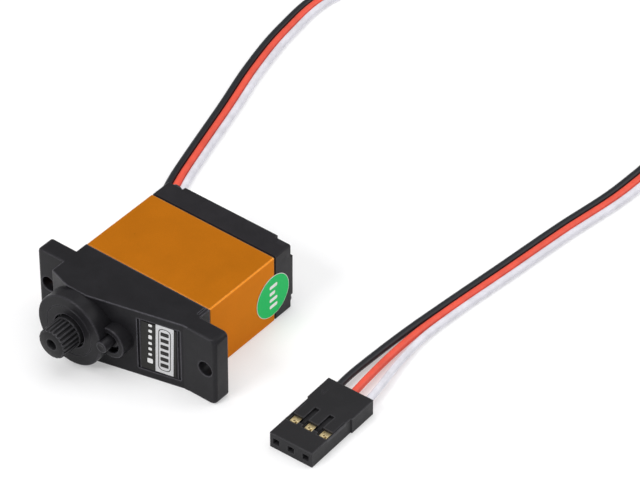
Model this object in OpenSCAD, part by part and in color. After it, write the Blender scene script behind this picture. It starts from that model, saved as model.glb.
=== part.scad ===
// Micro servo motor, lying on one of its large faces.
// The servo's length runs along X, its output shaft points to -Y, and Z is up.
// The origin is under the middle of the servo, on the surface it lies on.
// Inside the modules that use lay(), x is along the length, y is the height above
// that surface, and z runs along the shaft, from the joint of top and middle case.

/* [Case] */
// Length of the case, without the mounting ears
case_len = 22.8; // [22.7:0.1:23.2]
// Width of the case, between its two large faces
case_w = 11.8; // [11.7:0.1:12.2]
// Length along the shaft of the aluminium middle case
middle_h = 14.4; // [14.3:0.1:15.0]
// Depth along the shaft of the rear cover
rear_h = 4.2; // [3.9:0.05:4.4]

/* [Mounting ears] */
// How far each ear stands out from the case
ear_reach = 5.0; // [4.6:0.05:5.2]
// Thickness of the ears along the shaft
ear_thick = 2.85; // [2.4:0.05:2.9]
// Diameter of the screw hole in each ear
ear_hole_d = 2.4; // [2.0:0.1:2.6]
// Distance from the case to the centre of each ear's hole
ear_hole_out = 3.1; // [2.6:0.1:3.3]

/* [Nose] */
// Diameter of the round boss around the output shaft
boss_d = 11.6; // [11.2:0.1:11.6]
// Diameter of the small boss over the gear pin
bump_d = 5.0; // [4.8:0.1:5.4]

/* [Output shaft] */
// Number of teeth on the output spline
spline_teeth = 21; // [20:1:25]
// Outside diameter of the output spline
spline_d = 4.8; // [4.6:0.1:4.9]
// Diameter of the hole for the horn screw
horn_hole_d = 1.5; // [1.2:0.1:1.8]

/* [Lead] */
// Outside diameter of each wire
wire_d = 1.1; // [1.0:0.05:1.15]

/* [Connector] */
// Width of the connector housing at its wire end
plug_w = 7.8; // [7.7:0.1:8.0]
// Length of the connector housing
plug_len = 13.9; // [13.7:0.1:14.2]
// Thickness of the connector housing
plug_t = 2.6; // [2.5:0.05:2.8]

/* [Hidden] */
$fn = 64;

// Heights along the shaft, from the joint of top and middle case
ear_back = 2.05;
ear_front = ear_back + ear_thick;
shoulder_h = 7.35;
flat_h = 8.5;
boss_base = 4;
boss_h = 10.65;
bump_h = 9.1;
bump_hollow = 8.1;
post_h = 10.85;
spline_tip = 14.45;
spline_base = 11.2;
spline_depth = 0.28;
spline_lead = 0.25;
cover_back = -middle_h - rear_h;

// Sloping front of the nose, along x from the case's end, and the label's panel in it
slope_start = 7.3;
slope_end = 22.0;
panel_start = 15.05;
panel_len = 6.6;
panel_edge = 1.3;
panel_depth = 0.12;

// Post in the hollow of the small boss
post_r = 0.88;
hollow_r = 1.6;

// Ring engraved in the face of the large boss
ring_r = 4.13;

// Walls and edges
case_round = 0.35;
ear_round = 0.8;
top_wall = 0.75;
side_wall = 0.9;
end_wall = 1.0;
deck_top = -0.3;
deck_bottom = -1.5;
gap = 0.02;
eps = 0.01;

// Axes of the gear train, along x, and the height that they all share
mid_v = case_w / 2;
out_x = -case_len / 2 + 5.85;
pin_x = out_x + 6.5;
motor_x = pin_x + 4.4;
bump_x = pin_x - 0.35;
post_x = bump_x - 0.05;
post_v = mid_v + 0.3;

// Screws, one near each corner, and the pockets for their heads
screw_in = 1.35;
screw_d = 1.4;
screw_head_d = 2.2;
screw_head_t = 0.8;
pocket_len = 2.85;
pocket_w = 2.4;
pocket_floor = cover_back + 0.65;
sunk_floor = pocket_floor + 0.85;
head_back = pocket_floor - screw_head_t;
screw_tip = 3.6;

// Where the joint of top and middle case stands along y: the whole is centred on y = 0
joint_y = (spline_tip + head_back) / 2;
pillar_r = 1.15;

// Gears: module, and the teeth of each wheel and pinion
module_1 = 0.2;
pinion_teeth = 9;
wheel_1_teeth = 35;
shift_1 = 0.2;
module_2 = 0.25;
small_teeth = 14;
large_teeth = 38;
module_4 = 0.325;
small_4_teeth = 11;
output_teeth = 29;
shift_4 = 0.2;
pressure_angle = 25;
backlash = 0.05;
pin_r = 0.6;
pot_shaft_r = 0.9;
running_gap = 0.04;

// Bearing of the output shaft: radii of its rings, and its balls
bearing_r = 4.0;
shaft_opening_r = 2.75;
bearing_bore_r = 2.48;
bearing_low = 7.0;
bearing_high = 9.5;
ball_r = 0.5;
ball_path_r = 3.24;
ball_count = 9;

// Motor and potentiometer
can_r = 4.8;
can_wall = 0.4;
can_back = -12.6;
core_back = -9.6;
core_len = 5.6;
brush_out = 2.6;
motor_shaft_r = 0.5;
pot_r = 4.0;
pot_back = -5.4;
pot_floor = 0.6;
pot_flat = 0.45;

// Circuit board, inside the rear cover
board_h = -middle_h - 0.4;
board_t = 0.7;
inner_lead_r = 0.25;

// Where the lead leaves the servo
exit_h = -15.4;
exit_v = 5.4;
grommet_out = 0.5;
notch_w = 3.8;
notch_below = 0.75;

// Connector, on the same surface as the servo
plug_pos = [31.0, -8.6, 0];
plug_turn = 1.5;
pin_pitch = 2.54;
plug_front_w = plug_w - 0.5;
plug_step = 8.9;
mouth_w = 0.84;
latch_w = 1.72;
latch_t = 0.45;
latch_back = 7.85;
latch_front = 5.15;
window_front = 3.55;

// ---- Helpers -------------------------------------------------------------

// Turns the shaft direction, local z, to point along -Y
module lay() {
    translate([0, joint_y, 0])
        rotate([90, 0, 0])
            children();
}

// A rectangle with true round corners, centred on x, from y = 0 to y = width
module rounded_plan(length, width, radius) {
    translate([-length / 2 + radius, 0])
        square([length - 2 * radius, width]);
    translate([-length / 2, radius])
        square([length, width - 2 * radius]);
    for (sx = [-1, 1], y = [radius, width - radius])
        translate([sx * (length / 2 - radius), y])
            circle(radius);
}

module rounded_block(length, width, low, high, radius) {
    translate([0, 0, low])
        linear_extrude(high - low)
            rounded_plan(length, width, radius);
}

// A profile in x and shaft height, extruded across the case's width
module across(low, high) {
    translate([0, high, 0])
        rotate([90, 0, 0])
            linear_extrude(high - low)
                children();
}

module disc(x, low, high, radius) {
    translate([x, mid_v, low])
        cylinder(h = high - low, r = radius);
}

module each_screw(inset = screw_in) {
    for (sx = [-1, 1], v = [inset, case_w - inset])
        translate([sx * (case_len / 2 - inset), v, 0])
            children();
}

// ---- Gears ---------------------------------------------------------------

function involute(angle) = tan(angle) - angle * PI / 180;
function to_polar(r, a) = [r * cos(a), r * sin(a)];

// Half of a tooth's angle at radius r, in degrees
function half_tooth(m, n, shift, r) =
    let (pitch_r = m * n / 2)
    let (base_r = pitch_r * cos(pressure_angle))
    let (at = r > base_r ? acos(base_r / r) : 0)
    (PI / 2 + 2 * shift * tan(pressure_angle)) / n * 180 / PI
        - backlash / 2 / pitch_r * 180 / PI
        + (involute(pressure_angle) - involute(at)) * 180 / PI;

// One tooth's points, from the root before it to the root after it
function tooth_points(m, n, shift, middle) =
    let (pitch_r = m * n / 2)
    let (base_r = pitch_r * cos(pressure_angle))
    let (root_r = pitch_r - m * (1.2 - shift))
    let (tip_r = pitch_r + m * (0.9 + shift))
    let (low_r = max(base_r, root_r))
    let (steps = 3)
    let (rs = [for (i = [0 : steps]) low_r + (tip_r - low_r) * i / steps])
    let (root = half_tooth(m, n, shift, low_r))
    concat(
        root_r < low_r ? [to_polar(root_r, middle - root)] : [],
        [for (r = rs) to_polar(r, middle - half_tooth(m, n, shift, r))],
        [for (i = [steps : -1 : 0])
            to_polar(rs[i], middle + half_tooth(m, n, shift, rs[i]))],
        root_r < low_r ? [to_polar(root_r, middle + root)] : []
    );

// A spur gear whose first tooth is centred on the angle `first`
module gear(m, n, shift, low, high, first = 0) {
    translate([0, 0, low])
        linear_extrude(high - low)
            polygon([for (i = [0 : n - 1]) each tooth_points(m, n, shift, first + i * 360 / n)]);
}

// ---- Case ----------------------------------------------------------------

module nose_profile(inset, base) {
    x0 = -case_len / 2;
    polygon([
        [x0 + inset, base],
        [x0 + inset, shoulder_h - inset * 0.9],
        [x0 + 3.7 + inset * 0.2, flat_h - inset],
        [x0 + slope_start, flat_h - inset],
        [x0 + slope_end, ear_front - inset],
        [-x0 - inset, ear_front - inset],
        [-x0 - inset, base]
    ]);
}

// Raised ring with a rounded outer rim, around the output shaft
module boss_solid() {
    rim = 0.2;
    boss_r = boss_d / 2;
    height = boss_h - boss_base;
    translate([out_x, mid_v, boss_base])
        rotate_extrude() {
            square([boss_r, height - rim]);
            square([boss_r - rim, height]);
            translate([boss_r - rim, height - rim])
                circle(rim);
        }
}

// Round post that stands in the small boss's hollow, against the large one
module post_solid() {
    translate([post_x, post_v, bump_hollow - 1])
        cylinder(h = post_h - bump_hollow + 1, r = post_r);
}

module top_case_solid() {
    intersection() {
        across(0, case_w)
            nose_profile(0, 0);
        rounded_block(case_len, case_w, -1, 12, case_round);
    }
    rounded_block(case_len + 2 * ear_reach, case_w, ear_back, ear_front, ear_round);
    boss_solid();
    disc(bump_x, boss_base, bump_h, bump_d / 2);
    post_solid();
}

// Room for the gears, open towards the middle case
module gear_room() {
    difference() {
        across(top_wall, case_w - top_wall)
            nose_profile(top_wall, -1);
        each_screw()
            cylinder(h = 10, r = pillar_r);
        disc(out_x, 6.85, 9, bearing_r + 1.4);
        disc(pin_x, 5.65, 7, 2 * pin_r);
    }
}

// Into the plane of the nose's sloping front, at the label panel's edge
module on_slope() {
    slope = atan((flat_h - ear_front) / (slope_end - slope_start));
    translate([-case_len / 2 + panel_start, 0, flat_h - (panel_start - slope_start) * tan(slope)])
        rotate([0, slope, 0])
            children();
}

module top_case() {
    color([0.13, 0.135, 0.15])
        lay()
            difference() {
                top_case_solid();
                gear_room();
                // bearing seat and shaft opening
                disc(out_x, 6, bearing_high, bearing_r);
                disc(out_x, 9, 11, shaft_opening_r);
                // socket of the gear pin
                disc(pin_x, 4, 7.6, pin_r);
                // hollow in the small boss, around the post
                difference() {
                    disc(bump_x, bump_hollow, bump_h + 1, hollow_r);
                    post_solid();
                    disc(out_x, 8, boss_h, boss_d / 2);
                }
                // fine ring engraved in the face of the boss
                difference() {
                    disc(out_x, boss_h - 0.06, boss_h + 1, ring_r + 0.06);
                    disc(out_x, boss_h - 1, boss_h + 2, ring_r - 0.06);
                }
                for (sx = [-1, 1])
                    translate([sx * (case_len / 2 + ear_hole_out), mid_v, ear_back - 1])
                        cylinder(h = ear_thick + 2, d = ear_hole_d);
                each_screw()
                    translate([0, 0, -1])
                        cylinder(h = screw_tip + 1.4, d = screw_d);
                // shallow panel for the label, with a groove at each end
                on_slope() {
                    translate([0, panel_edge, -panel_depth])
                        cube([panel_len, case_w - 2 * panel_edge, 1]);
                    for (x = [0, panel_len - 0.2])
                        translate([x, panel_edge, -0.3])
                            cube([0.25, case_w - 2 * panel_edge, 1]);
                }
                // short groove in the upper face, beside the right ear
                translate([case_len / 2 - 0.8, case_w - 0.12, 0.2])
                    cube([0.2, 1, 1.5]);
            }
}

module middle_case() {
    color([0.78, 0.47, 0.12])
        lay()
            difference() {
                rounded_block(case_len, case_w, -middle_h, 0, case_round);
                // room for the motor and potentiometer, open to the rear
                difference() {
                    translate([-case_len / 2 + end_wall, side_wall, -middle_h - 1])
                        cube([case_len - 2 * end_wall, case_w - 2 * side_wall,
                              middle_h + 1 + deck_bottom]);
                    each_screw(1.2)
                        translate([-1.3, -1.3, -middle_h - 2])
                            cube([2.6, 2.6, middle_h + 3]);
                }
                // shallow recess over the deck
                difference() {
                    translate([-case_len / 2 + end_wall, side_wall, deck_top])
                        cube([case_len - 2 * end_wall, case_w - 2 * side_wall, 1]);
                    each_screw()
                        translate([0, 0, -1])
                            cylinder(h = 3, r = pillar_r);
                }
                disc(out_x, -3, 1, 1.55);
                disc(motor_x, -3, 1, 1.6);
                disc(pin_x, -3, 1, pin_r);
                each_screw()
                    translate([0, 0, -middle_h - 1])
                        cylinder(h = middle_h + 2, d = screw_d + 0.1);
            }
}

module rear_cover() {
    color([0.13, 0.135, 0.15])
        lay()
            difference() {
                rounded_block(case_len, case_w, cover_back, -middle_h, case_round);
                // hollow for the circuit board, with a post at each corner
                difference() {
                    translate([-case_len / 2 + end_wall, side_wall, cover_back + 1.0])
                        cube([case_len - 2 * end_wall, case_w - 2 * side_wall, rear_h]);
                    for (sx = [-1, 1], sv = [-1, 1])
                        translate([sx * (case_len / 2 - 1.35) - 1.35,
                                   mid_v + sv * (case_w / 2 - 1.3) - 1.3, cover_back])
                            cube([2.7, 2.6, rear_h + 1]);
                }
                // pockets for the screw heads
                for (x = [-case_len / 2 - 1, case_len / 2 - pocket_len])
                    for (v = [-1, case_w - pocket_w])
                        translate([x, v, cover_back - 1])
                            cube([pocket_len + 1, pocket_w + 1, 1 + pocket_floor - cover_back]);
                // two of the heads sit deeper, in a round counterbore
                for (s = [-1, 1])
                    translate([-s * (case_len / 2 - screw_in), mid_v - s * (mid_v - screw_in),
                               cover_back - 1])
                        cylinder(h = 1 + sunk_floor - cover_back, d = screw_head_d + 0.2);
                each_screw()
                    translate([0, 0, cover_back - 1])
                        cylinder(h = rear_h + 2, d = screw_d + 0.1);
                // notch for the lead's grommet
                translate([-case_len / 2 - 1, exit_v - notch_w / 2, exit_h - notch_below])
                    cube([2.5, notch_w, 1 - middle_h - exit_h + notch_below]);
            }
}

// Shank, cross-recessed head and cone point of one case screw, head downwards
module case_screw(seat) {
    head_r = screw_head_d / 2;
    edge = 0.25;
    point = 0.8;
    difference() {
        union() {
            translate([0, 0, seat - screw_head_t])
                rotate_extrude() {
                    square([head_r - edge, screw_head_t]);
                    translate([0, edge])
                        square([head_r, screw_head_t - edge]);
                    translate([head_r - edge, edge])
                        circle(edge);
                }
            translate([0, 0, seat - eps])
                cylinder(h = screw_tip - point - seat + eps, d = screw_d - 0.06);
            translate([0, 0, screw_tip - point])
                cylinder(h = point, r1 = screw_d / 2 - 0.03, r2 = 0.15);
        }
        for (turn = [0, 90])
            rotate(turn)
                translate([-0.65, -0.14, seat - screw_head_t - 1])
                    cube([1.3, 0.28, 1.45]);
    }
}

module case_screws() {
    color([0.2, 0.2, 0.21])
        lay()
            for (sx = [-1, 1], sv = [-1, 1])
                translate([sx * (case_len / 2 - screw_in), mid_v + sv * (mid_v - screw_in), 0])
                    rotate(20 * sx + 35 * sv)
                        case_screw(sx * sv > 0 ? sunk_floor : pocket_floor);
}

module name_label() {
    color([0.16, 0.15, 0.14])
        lay()
            on_slope()
                translate([0.8, panel_edge + 0.15, gap / 2 - panel_depth])
                    cube([panel_len - 1.6, case_w - 2 * panel_edge - 0.3, 0.09]);
}

module round_sticker() {
    color([0.15, 0.72, 0.38])
        lay()
            translate([case_len / 2 + gap / 2, 5.0, -13.85])
                rotate([0, 90, 0])
                    cylinder(h = 0.08, r = 3.65);
}

// ---- Output shaft and gears ----------------------------------------------

// Flat-topped teeth: two points on each tooth's tip and two on the root after it
function spline_points() =
    let (tip_r = spline_d / 2, root_r = tip_r - spline_depth, pitch = 360 / spline_teeth)
    [for (i = [0 : spline_teeth - 1]) each [
        to_polar(tip_r, (i - 0.16) * pitch),
        to_polar(tip_r, (i + 0.16) * pitch),
        to_polar(root_r, (i + 0.38) * pitch),
        to_polar(root_r, (i + 0.62) * pitch)
    ]];

module spline() {
    intersection() {
        translate([out_x, mid_v, spline_base - eps])
            linear_extrude(spline_tip - spline_base + eps)
                polygon(spline_points());
        union() {
            disc(out_x, spline_base - 1, spline_tip - spline_lead, spline_d);
            translate([out_x, mid_v, spline_tip - spline_lead - eps])
                cylinder(h = spline_lead + eps, r1 = spline_d / 2, r2 = spline_d / 2 - spline_lead);
        }
    }
}

module output_shaft() {
    color([0.14, 0.14, 0.15])
        lay()
            difference() {
                union() {
                    translate([out_x, mid_v, 0])
                        gear(module_4, output_teeth, -shift_4, 4.2, 6.5, 180 / output_teeth);
                    disc(out_x, 6.5 - eps, bearing_low, bearing_bore_r + 0.52);
                    disc(out_x, bearing_low - eps, spline_base, bearing_bore_r);
                    spline();
                }
                disc(out_x, spline_tip - 5, spline_tip + 1, horn_hole_d / 2);
                // socket for the flatted end of the potentiometer's shaft
                difference() {
                    disc(out_x, 4, 6.6, pot_shaft_r + gap);
                    translate([out_x + pot_flat + gap, 0, 3])
                        cube([5, case_w, 5]);
                }
            }
}

module third_gear() {
    color([0.86, 0.84, 0.76])
        lay()
            translate([pin_x, mid_v, 0])
                difference() {
                    union() {
                        gear(module_2, large_teeth, 0, 2.75, 3.9, 180 / large_teeth + 180);
                        gear(module_4, small_4_teeth, shift_4, 3.9 - eps, 5.5, 180);
                        translate([0, 0, 2.55])
                            cylinder(h = 0.3, r = 1.3);
                    }
                    cylinder(h = 12, r = pin_r + running_gap);
                }
}

module second_gear() {
    color([0.86, 0.84, 0.76])
        lay()
            translate([out_x, mid_v, 0])
                difference() {
                    union() {
                        gear(module_2, large_teeth, 0, 1.45, 2.4, 180 / large_teeth);
                        gear(module_2, small_teeth, 0, 2.4 - eps, 3.95);
                        cylinder(h = 1.6, r = 1.4);
                    }
                    translate([0, 0, -1])
                        cylinder(h = 12, r = pot_shaft_r + running_gap);
                }
}

module first_gear() {
    color([0.86, 0.84, 0.76])
        lay()
            translate([pin_x, mid_v, 0])
                difference() {
                    union() {
                        gear(module_1, wheel_1_teeth, -shift_1, 0.25, 1.15, 180 / wheel_1_teeth);
                        gear(module_2, small_teeth, 0, 1.15 - eps, 2.45, 180);
                        translate([0, 0, -0.2])
                            cylinder(h = 0.5, r = 1.3);
                    }
                    translate([0, 0, -1])
                        cylinder(h = 12, r = pin_r + running_gap);
                }
}

module motor_pinion() {
    color([0.85, 0.68, 0.32])
        lay()
            translate([motor_x, mid_v, 0])
                difference() {
                    gear(module_1, pinion_teeth, shift_1, -0.2, 1.35, 180);
                    translate([0, 0, -2])
                        cylinder(h = 4, r = motor_shaft_r);
                }
}

module gear_pin() {
    color([0.75, 0.76, 0.78])
        lay()
            disc(pin_x, deck_bottom, 7.5, pin_r);
}

// ---- Output bearing ------------------------------------------------------

module bearing_groove() {
    translate([out_x, mid_v, (bearing_low + bearing_high) / 2])
        rotate_extrude()
            translate([ball_path_r, 0])
                circle(ball_r + gap);
}

module bearing_outer_ring() {
    color([0.75, 0.76, 0.78])
        lay()
            difference() {
                disc(out_x, bearing_low, bearing_high, bearing_r);
                disc(out_x, bearing_low - 1, bearing_high + 1, 3.56);
                bearing_groove();
            }
}

module bearing_inner_ring() {
    color([0.75, 0.76, 0.78])
        lay()
            difference() {
                disc(out_x, bearing_low, bearing_high, 2.92);
                disc(out_x, bearing_low - 1, bearing_high + 1, bearing_bore_r);
                bearing_groove();
            }
}

module bearing_balls() {
    color([0.85, 0.86, 0.88])
        lay()
            for (i = [0 : ball_count - 1])
                translate([out_x, mid_v, (bearing_low + bearing_high) / 2])
                    rotate(i * 360 / ball_count)
                        translate([ball_path_r, 0, 0])
                            sphere(ball_r);
}

// ---- Motor ---------------------------------------------------------------

module motor_can() {
    color([0.72, 0.73, 0.75])
        lay()
            difference() {
                union() {
                    disc(motor_x, can_back, deck_bottom - gap, can_r);
                    disc(motor_x, deck_bottom - 0.1, deck_top - 0.2, 1.5);
                }
                disc(motor_x, can_back - 1, deck_bottom - gap - can_wall, can_r - can_wall);
                disc(motor_x, -3, 1, motor_shaft_r + running_gap);
            }
}

module motor_magnets() {
    color([0.3, 0.3, 0.31])
        lay()
            difference() {
                disc(motor_x, -11.2, -2.6, can_r - can_wall);
                disc(motor_x, -12, -2, 3.5);
                translate([motor_x - 5, mid_v - 0.9, -12])
                    cube([10, 1.8, 10]);
            }
}

module motor_shaft() {
    color([0.8, 0.81, 0.83])
        lay()
            disc(motor_x, -13.2, 1.4, motor_shaft_r);
}

// Three-pole laminated core
module armature_core() {
    color([0.5, 0.5, 0.52])
        lay()
            translate([motor_x, mid_v, core_back])
                difference() {
                    linear_extrude(core_len)
                        union() {
                            circle(1.3);
                            for (i = [0 : 2])
                                rotate(i * 120) {
                                    translate([0, -0.45])
                                        square([2.8, 0.9]);
                                    intersection() {
                                        difference() {
                                            circle(3.2);
                                            circle(2.6);
                                        }
                                        translate([0, -2.3])
                                            square([4, 4.6]);
                                    }
                                }
                        }
                    translate([0, 0, -1])
                        cylinder(h = 8, r = motor_shaft_r);
                }
}

// Copper coils around the three arms of the core
module armature_windings() {
    color([0.72, 0.4, 0.2])
        lay()
            translate([motor_x, mid_v, core_back])
                for (i = [0 : 2])
                    rotate(i * 120)
                        difference() {
                            translate([1.45, -0.95, -0.7])
                                cube([0.95, 1.9, core_len + 1.4]);
                            translate([1, -0.47, -gap])
                                cube([2, 0.94, core_len + 2 * gap]);
                        }
}

module commutator() {
    color([0.78, 0.5, 0.28])
        lay()
            difference() {
                disc(motor_x, -12.3, -10.6, 1.1);
                disc(motor_x, -14, -8, motor_shaft_r);
                for (i = [0 : 2])
                    translate([motor_x, mid_v, -12.5])
                        rotate(i * 120 + 60)
                            translate([0.8, -0.08, 0])
                                cube([1, 0.16, 3]);
            }
}

module motor_end_cap() {
    color([0.85, 0.84, 0.8])
        lay()
            difference() {
                union() {
                    disc(motor_x, can_back - 0.9, can_back, can_r);
                    disc(motor_x, can_back - gap, can_back + 0.9, can_r - can_wall - gap);
                }
                disc(motor_x, can_back - 0.5, can_back + 2, 3.6);
                disc(motor_x, can_back - 2, can_back + 2, motor_shaft_r + running_gap);
                for (s = [-1, 1])
                    translate([motor_x + s * brush_out - 0.3, mid_v - 0.6, can_back - 2])
                        cube([0.6, 1.2, 2]);
            }
}

// Brush springs and the tags that the motor's leads are soldered to
module motor_terminals() {
    color([0.82, 0.66, 0.35])
        lay()
            for (s = [-1, 1])
                translate([motor_x + s * brush_out - 0.25, mid_v - 0.5, can_back - 1.5])
                    union() {
                        cube([0.5, 1.0, 2.2]);
                        translate([s > 0 ? -1.2 : 0.45, 0.3, 1.7])
                            cube([1.25, 0.4, 0.5]);
                    }
}

// ---- Potentiometer -------------------------------------------------------

module pot_housing() {
    color([0.2, 0.35, 0.6])
        lay()
            difference() {
                union() {
                    disc(out_x, pot_back, deck_bottom - gap, pot_r);
                    disc(out_x, deck_bottom - 0.1, deck_top - 0.1, 1.5);
                }
                disc(out_x, pot_back + pot_floor, -2.1, pot_r - 0.5);
                disc(out_x, -6, 1, pot_shaft_r + running_gap);
            }
}

// Resistive track, a printed horseshoe on the housing's floor
module pot_track() {
    color([0.12, 0.12, 0.12])
        lay()
            translate([out_x, mid_v, pot_back + pot_floor + gap])
                difference() {
                    cylinder(h = 0.25, r = 3.2);
                    translate([0, 0, -1])
                        cylinder(h = 3, r = 2.0);
                    translate([-1, -5, -1])
                        cube([2, 5, 3]);
                }
}

module pot_shaft() {
    color([0.85, 0.85, 0.8])
        lay()
            difference() {
                disc(out_x, pot_back + 0.1, 6.5, pot_shaft_r);
                translate([out_x + pot_flat, 0, 4.15])
                    cube([5, case_w, 5]);
            }
}

// Hub on the shaft with a springy arm that rubs on the track
module pot_wiper() {
    color([0.8, 0.65, 0.35])
        lay()
            translate([out_x, mid_v, 0])
                difference() {
                    union() {
                        translate([0, 0, -4.3])
                            cylinder(h = 1.6, r = 1.6);
                        translate([-0.4, 0, -4.3])
                            cube([0.8, 3.0, 0.3]);
                        translate([-0.4, 2.3, -4.46])
                            cube([0.8, 0.6, 0.4]);
                    }
                    translate([0, 0, -5])
                        cylinder(h = 4, r = pot_shaft_r);
                }
}

// ---- Electronics ---------------------------------------------------------

module circuit_board() {
    color([0.1, 0.4, 0.25])
        lay()
            translate([0, 0, board_h - board_t])
                linear_extrude(board_t)
                    difference() {
                        translate([-case_len / 2 + 1.15, 1.05])
                            square([case_len - 2.3, case_w - 2.1]);
                        for (sx = [-1, 1], v = [0, case_w - 2.75])
                            translate([sx * (case_len / 2 - 1.4) - 1.4, v])
                                square([2.8, 2.75]);
                        // room for the lead's grommet
                        translate([-case_len / 2, exit_v - 2.2])
                            square([2.6, 4.4]);
                    }
}

module control_chip() {
    color([0.1, 0.1, 0.1])
        lay()
            translate([1.0, mid_v, board_h - board_t - gap]) {
                translate([-2.2, -2.2, -0.9])
                    cube([4.4, 4.4, 0.85]);
                for (side = [0 : 3], i = [-3 : 3])
                    rotate(side * 90)
                        translate([2.2, i * 0.6 - 0.12, -0.45])
                            cube([0.55, 0.24, 0.45]);
            }
}

// Capacitors, resistors and a driver chip
module board_parts() {
    small = [[6.0, 3.4], [6.0, 5.2], [6.0, 7.0], [6.0, 8.6], [-3.2, 3.0], [-3.2, 8.6]];
    color([0.6, 0.5, 0.35])
        lay()
            translate([0, 0, board_h - board_t - gap]) {
                for (p = small)
                    translate([p[0] - 0.8, p[1] - 0.4, -0.6])
                        cube([1.6, 0.8, 0.6]);
                translate([-7.6, mid_v - 1.3, -0.9])
                    cube([2.4, 2.6, 0.9]);
            }
}

// The two leads from the motor's tags to the board
module motor_leads() {
    color([0.8, 0.2, 0.15])
        lay()
            for (s = [-1, 1])
                translate([motor_x + s * brush_out, mid_v + 0.75, board_h])
                    cylinder(h = can_back - 1.0 - board_h, r = inner_lead_r);
}

// The three leads from the potentiometer to the board
module pot_leads() {
    color([0.85, 0.8, 0.3])
        lay()
            for (i = [-1 : 1])
                translate([out_x - 1.2, mid_v + i * 1.4, board_h])
                    cylinder(h = pot_back - board_h, r = inner_lead_r);
}

// ---- Lead ----------------------------------------------------------------

// Rubber block that closes the notch in the rear cover and holds the wires
module lead_grommet() {
    color([0.1, 0.1, 0.11])
        lay()
            translate([-case_len / 2, exit_v, exit_h - notch_below + gap]) {
                height = -middle_h - exit_h + notch_below - 2 * gap;
                translate([-grommet_out, gap - notch_w / 2, 0])
                    cube([grommet_out + 1.5, notch_w - 2 * gap, height]);
                translate([end_wall + gap, -notch_w / 2 - 0.2, 0])
                    cube([0.8, notch_w + 0.4, height]);
            }
}

// Middle line of the three-wire ribbon, from the grommet to the connector. Each row is
// x, y, z, the spacing of the wires, and the ribbon's roll: 0 is flat, 90 is on edge with
// the black wire on top, and past that it lies flat again with its other face up.
grommet_face = [-case_len / 2 - grommet_out, joint_y - exit_h, exit_v];
route = [
    concat(grommet_face, [1.2, 90]),
    [-12.8, 13.45, 5.2, 1.2, 88],
    [-13.7, 14.4, 4.5, 1.25, 80],
    [-14.5, 16.2, 3.3, 1.25, 60],
    [-15.8, 19.2, 1.9, 1.25, 32],
    [-17.4, 22.8, 0.9, 1.2, 10],
    [-19.6, 28.2, 0.62, 1.2, 2],
    [-21.65, 34.8, 0.6, 1.2, 0],
    [-24.75, 45.4, 0.6, 1.2, 0],
    [-28.0, 56.0, 0.6, 1.2, 0],
    [-30.3, 66.5, 0.6, 1.2, 0],
    [-31.0, 78.0, 0.6, 1.2, 0],
    [-25.5, 91.0, 0.9, 1.2, 15],
    [-9.5, 106.0, 1.6, 1.2, 55],
    [5.0, 114.5, 1.85, 1.2, 95],
    [17.5, 111.0, 1.5, 1.2, 140],
    [27.0, 97.0, 0.7, 1.2, 175],
    [33.5, 82.0, 0.6, 1.2, 180],
    [34.2, 67.5, 0.6, 1.2, 180],
    [32.5, 53.5, 0.6, 1.2, 180],
    [31.2, 41.0, 0.6, 1.2, 180],
    [29.9, 29.0, 0.6, 1.2, 180],
    [29.4, 21.5, 0.7, 1.35, 180],
    [29.7, 14.5, 1.0, 1.85, 180],
    [30.3, 8.8, 1.3, 2.4, 180]
];
crimp_start = 6.5;
crimp_end = 10.7;

// A point on the plug's middle line, `along` mm from its front face
function plug_line(along) =
    plug_pos + [-along * sin(plug_turn), along * cos(plug_turn), plug_t / 2];

// The wires go in through the plug's back and meet the barrels of its contacts
full_route = concat(route, [
    concat(plug_line(plug_len), [pin_pitch, 180]),
    concat(plug_line(crimp_end + gap), [pin_pitch, 180])
]);
ring_sides = 8;

function row_point(i) = [full_route[i][0], full_route[i][1], full_route[i][2]];
function unit(v) = v / norm(v);
function flat(v) = unit([v[0], v[1], 0]);

// Direction of travel at row i: along X at the grommet, along the plug at its end
function heading(i) =
    i == 0 ? [-1, 0, 0]
    : i == len(full_route) - 1 ? [sin(plug_turn), -cos(plug_turn), 0]
    : unit(unit(row_point(i + 1) - row_point(i)) + unit(row_point(i) - row_point(i - 1)));

// Across the ribbon at row i, from the white wire towards the black one
function across_ribbon(i) =
    let (h = flat(heading(i)), edge = full_route[i][4])
    cos(edge) * [-h[1], h[0], 0] + sin(edge) * [0, 0, 1];

// Centre of one wire at row i: side is 1 for black, 0 for red and -1 for white
function wire_point(i, side) = row_point(i) + side * full_route[i][3] * across_ribbon(i);

// One ring of the wire's surface, square to its direction of travel
function wire_ring(i, side) =
    let (h = heading(i), u = unit(cross([0, 0, 1], h)), w = cross(h, u))
    [for (k = [0 : ring_sides - 1])
        let (a = (k + 0.5) * 360 / ring_sides)
        wire_point(i, side) + wire_d / 2 * (cos(a) * u + sin(a) * w)];

module wire(side) {
    rings = len(full_route);
    points = [for (i = [0 : rings - 1]) each wire_ring(i, side)];
    sides = [for (i = [0 : rings - 2], k = [0 : ring_sides - 1])
        let (a = i * ring_sides, b = a + ring_sides, next = (k + 1) % ring_sides)
        each [[a + k, b + k, b + next], [a + k, b + next, a + next]]];
    first = [[for (k = [0 : ring_sides - 1]) k]];
    last = [[for (k = [ring_sides - 1 : -1 : 0]) (rings - 1) * ring_sides + k]];
    polyhedron(points, concat(sides, first, last));
}

module lead_black() {
    color([0.1, 0.1, 0.11])
        wire(1);
}

module lead_red() {
    color([0.85, 0.2, 0.15])
        wire(0);
}

module lead_white() {
    color([0.92, 0.91, 0.93])
        wire(-1);
}

// ---- Connector -----------------------------------------------------------

module at_plug() {
    translate(plug_pos)
        rotate(plug_turn)
            children();
}

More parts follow.
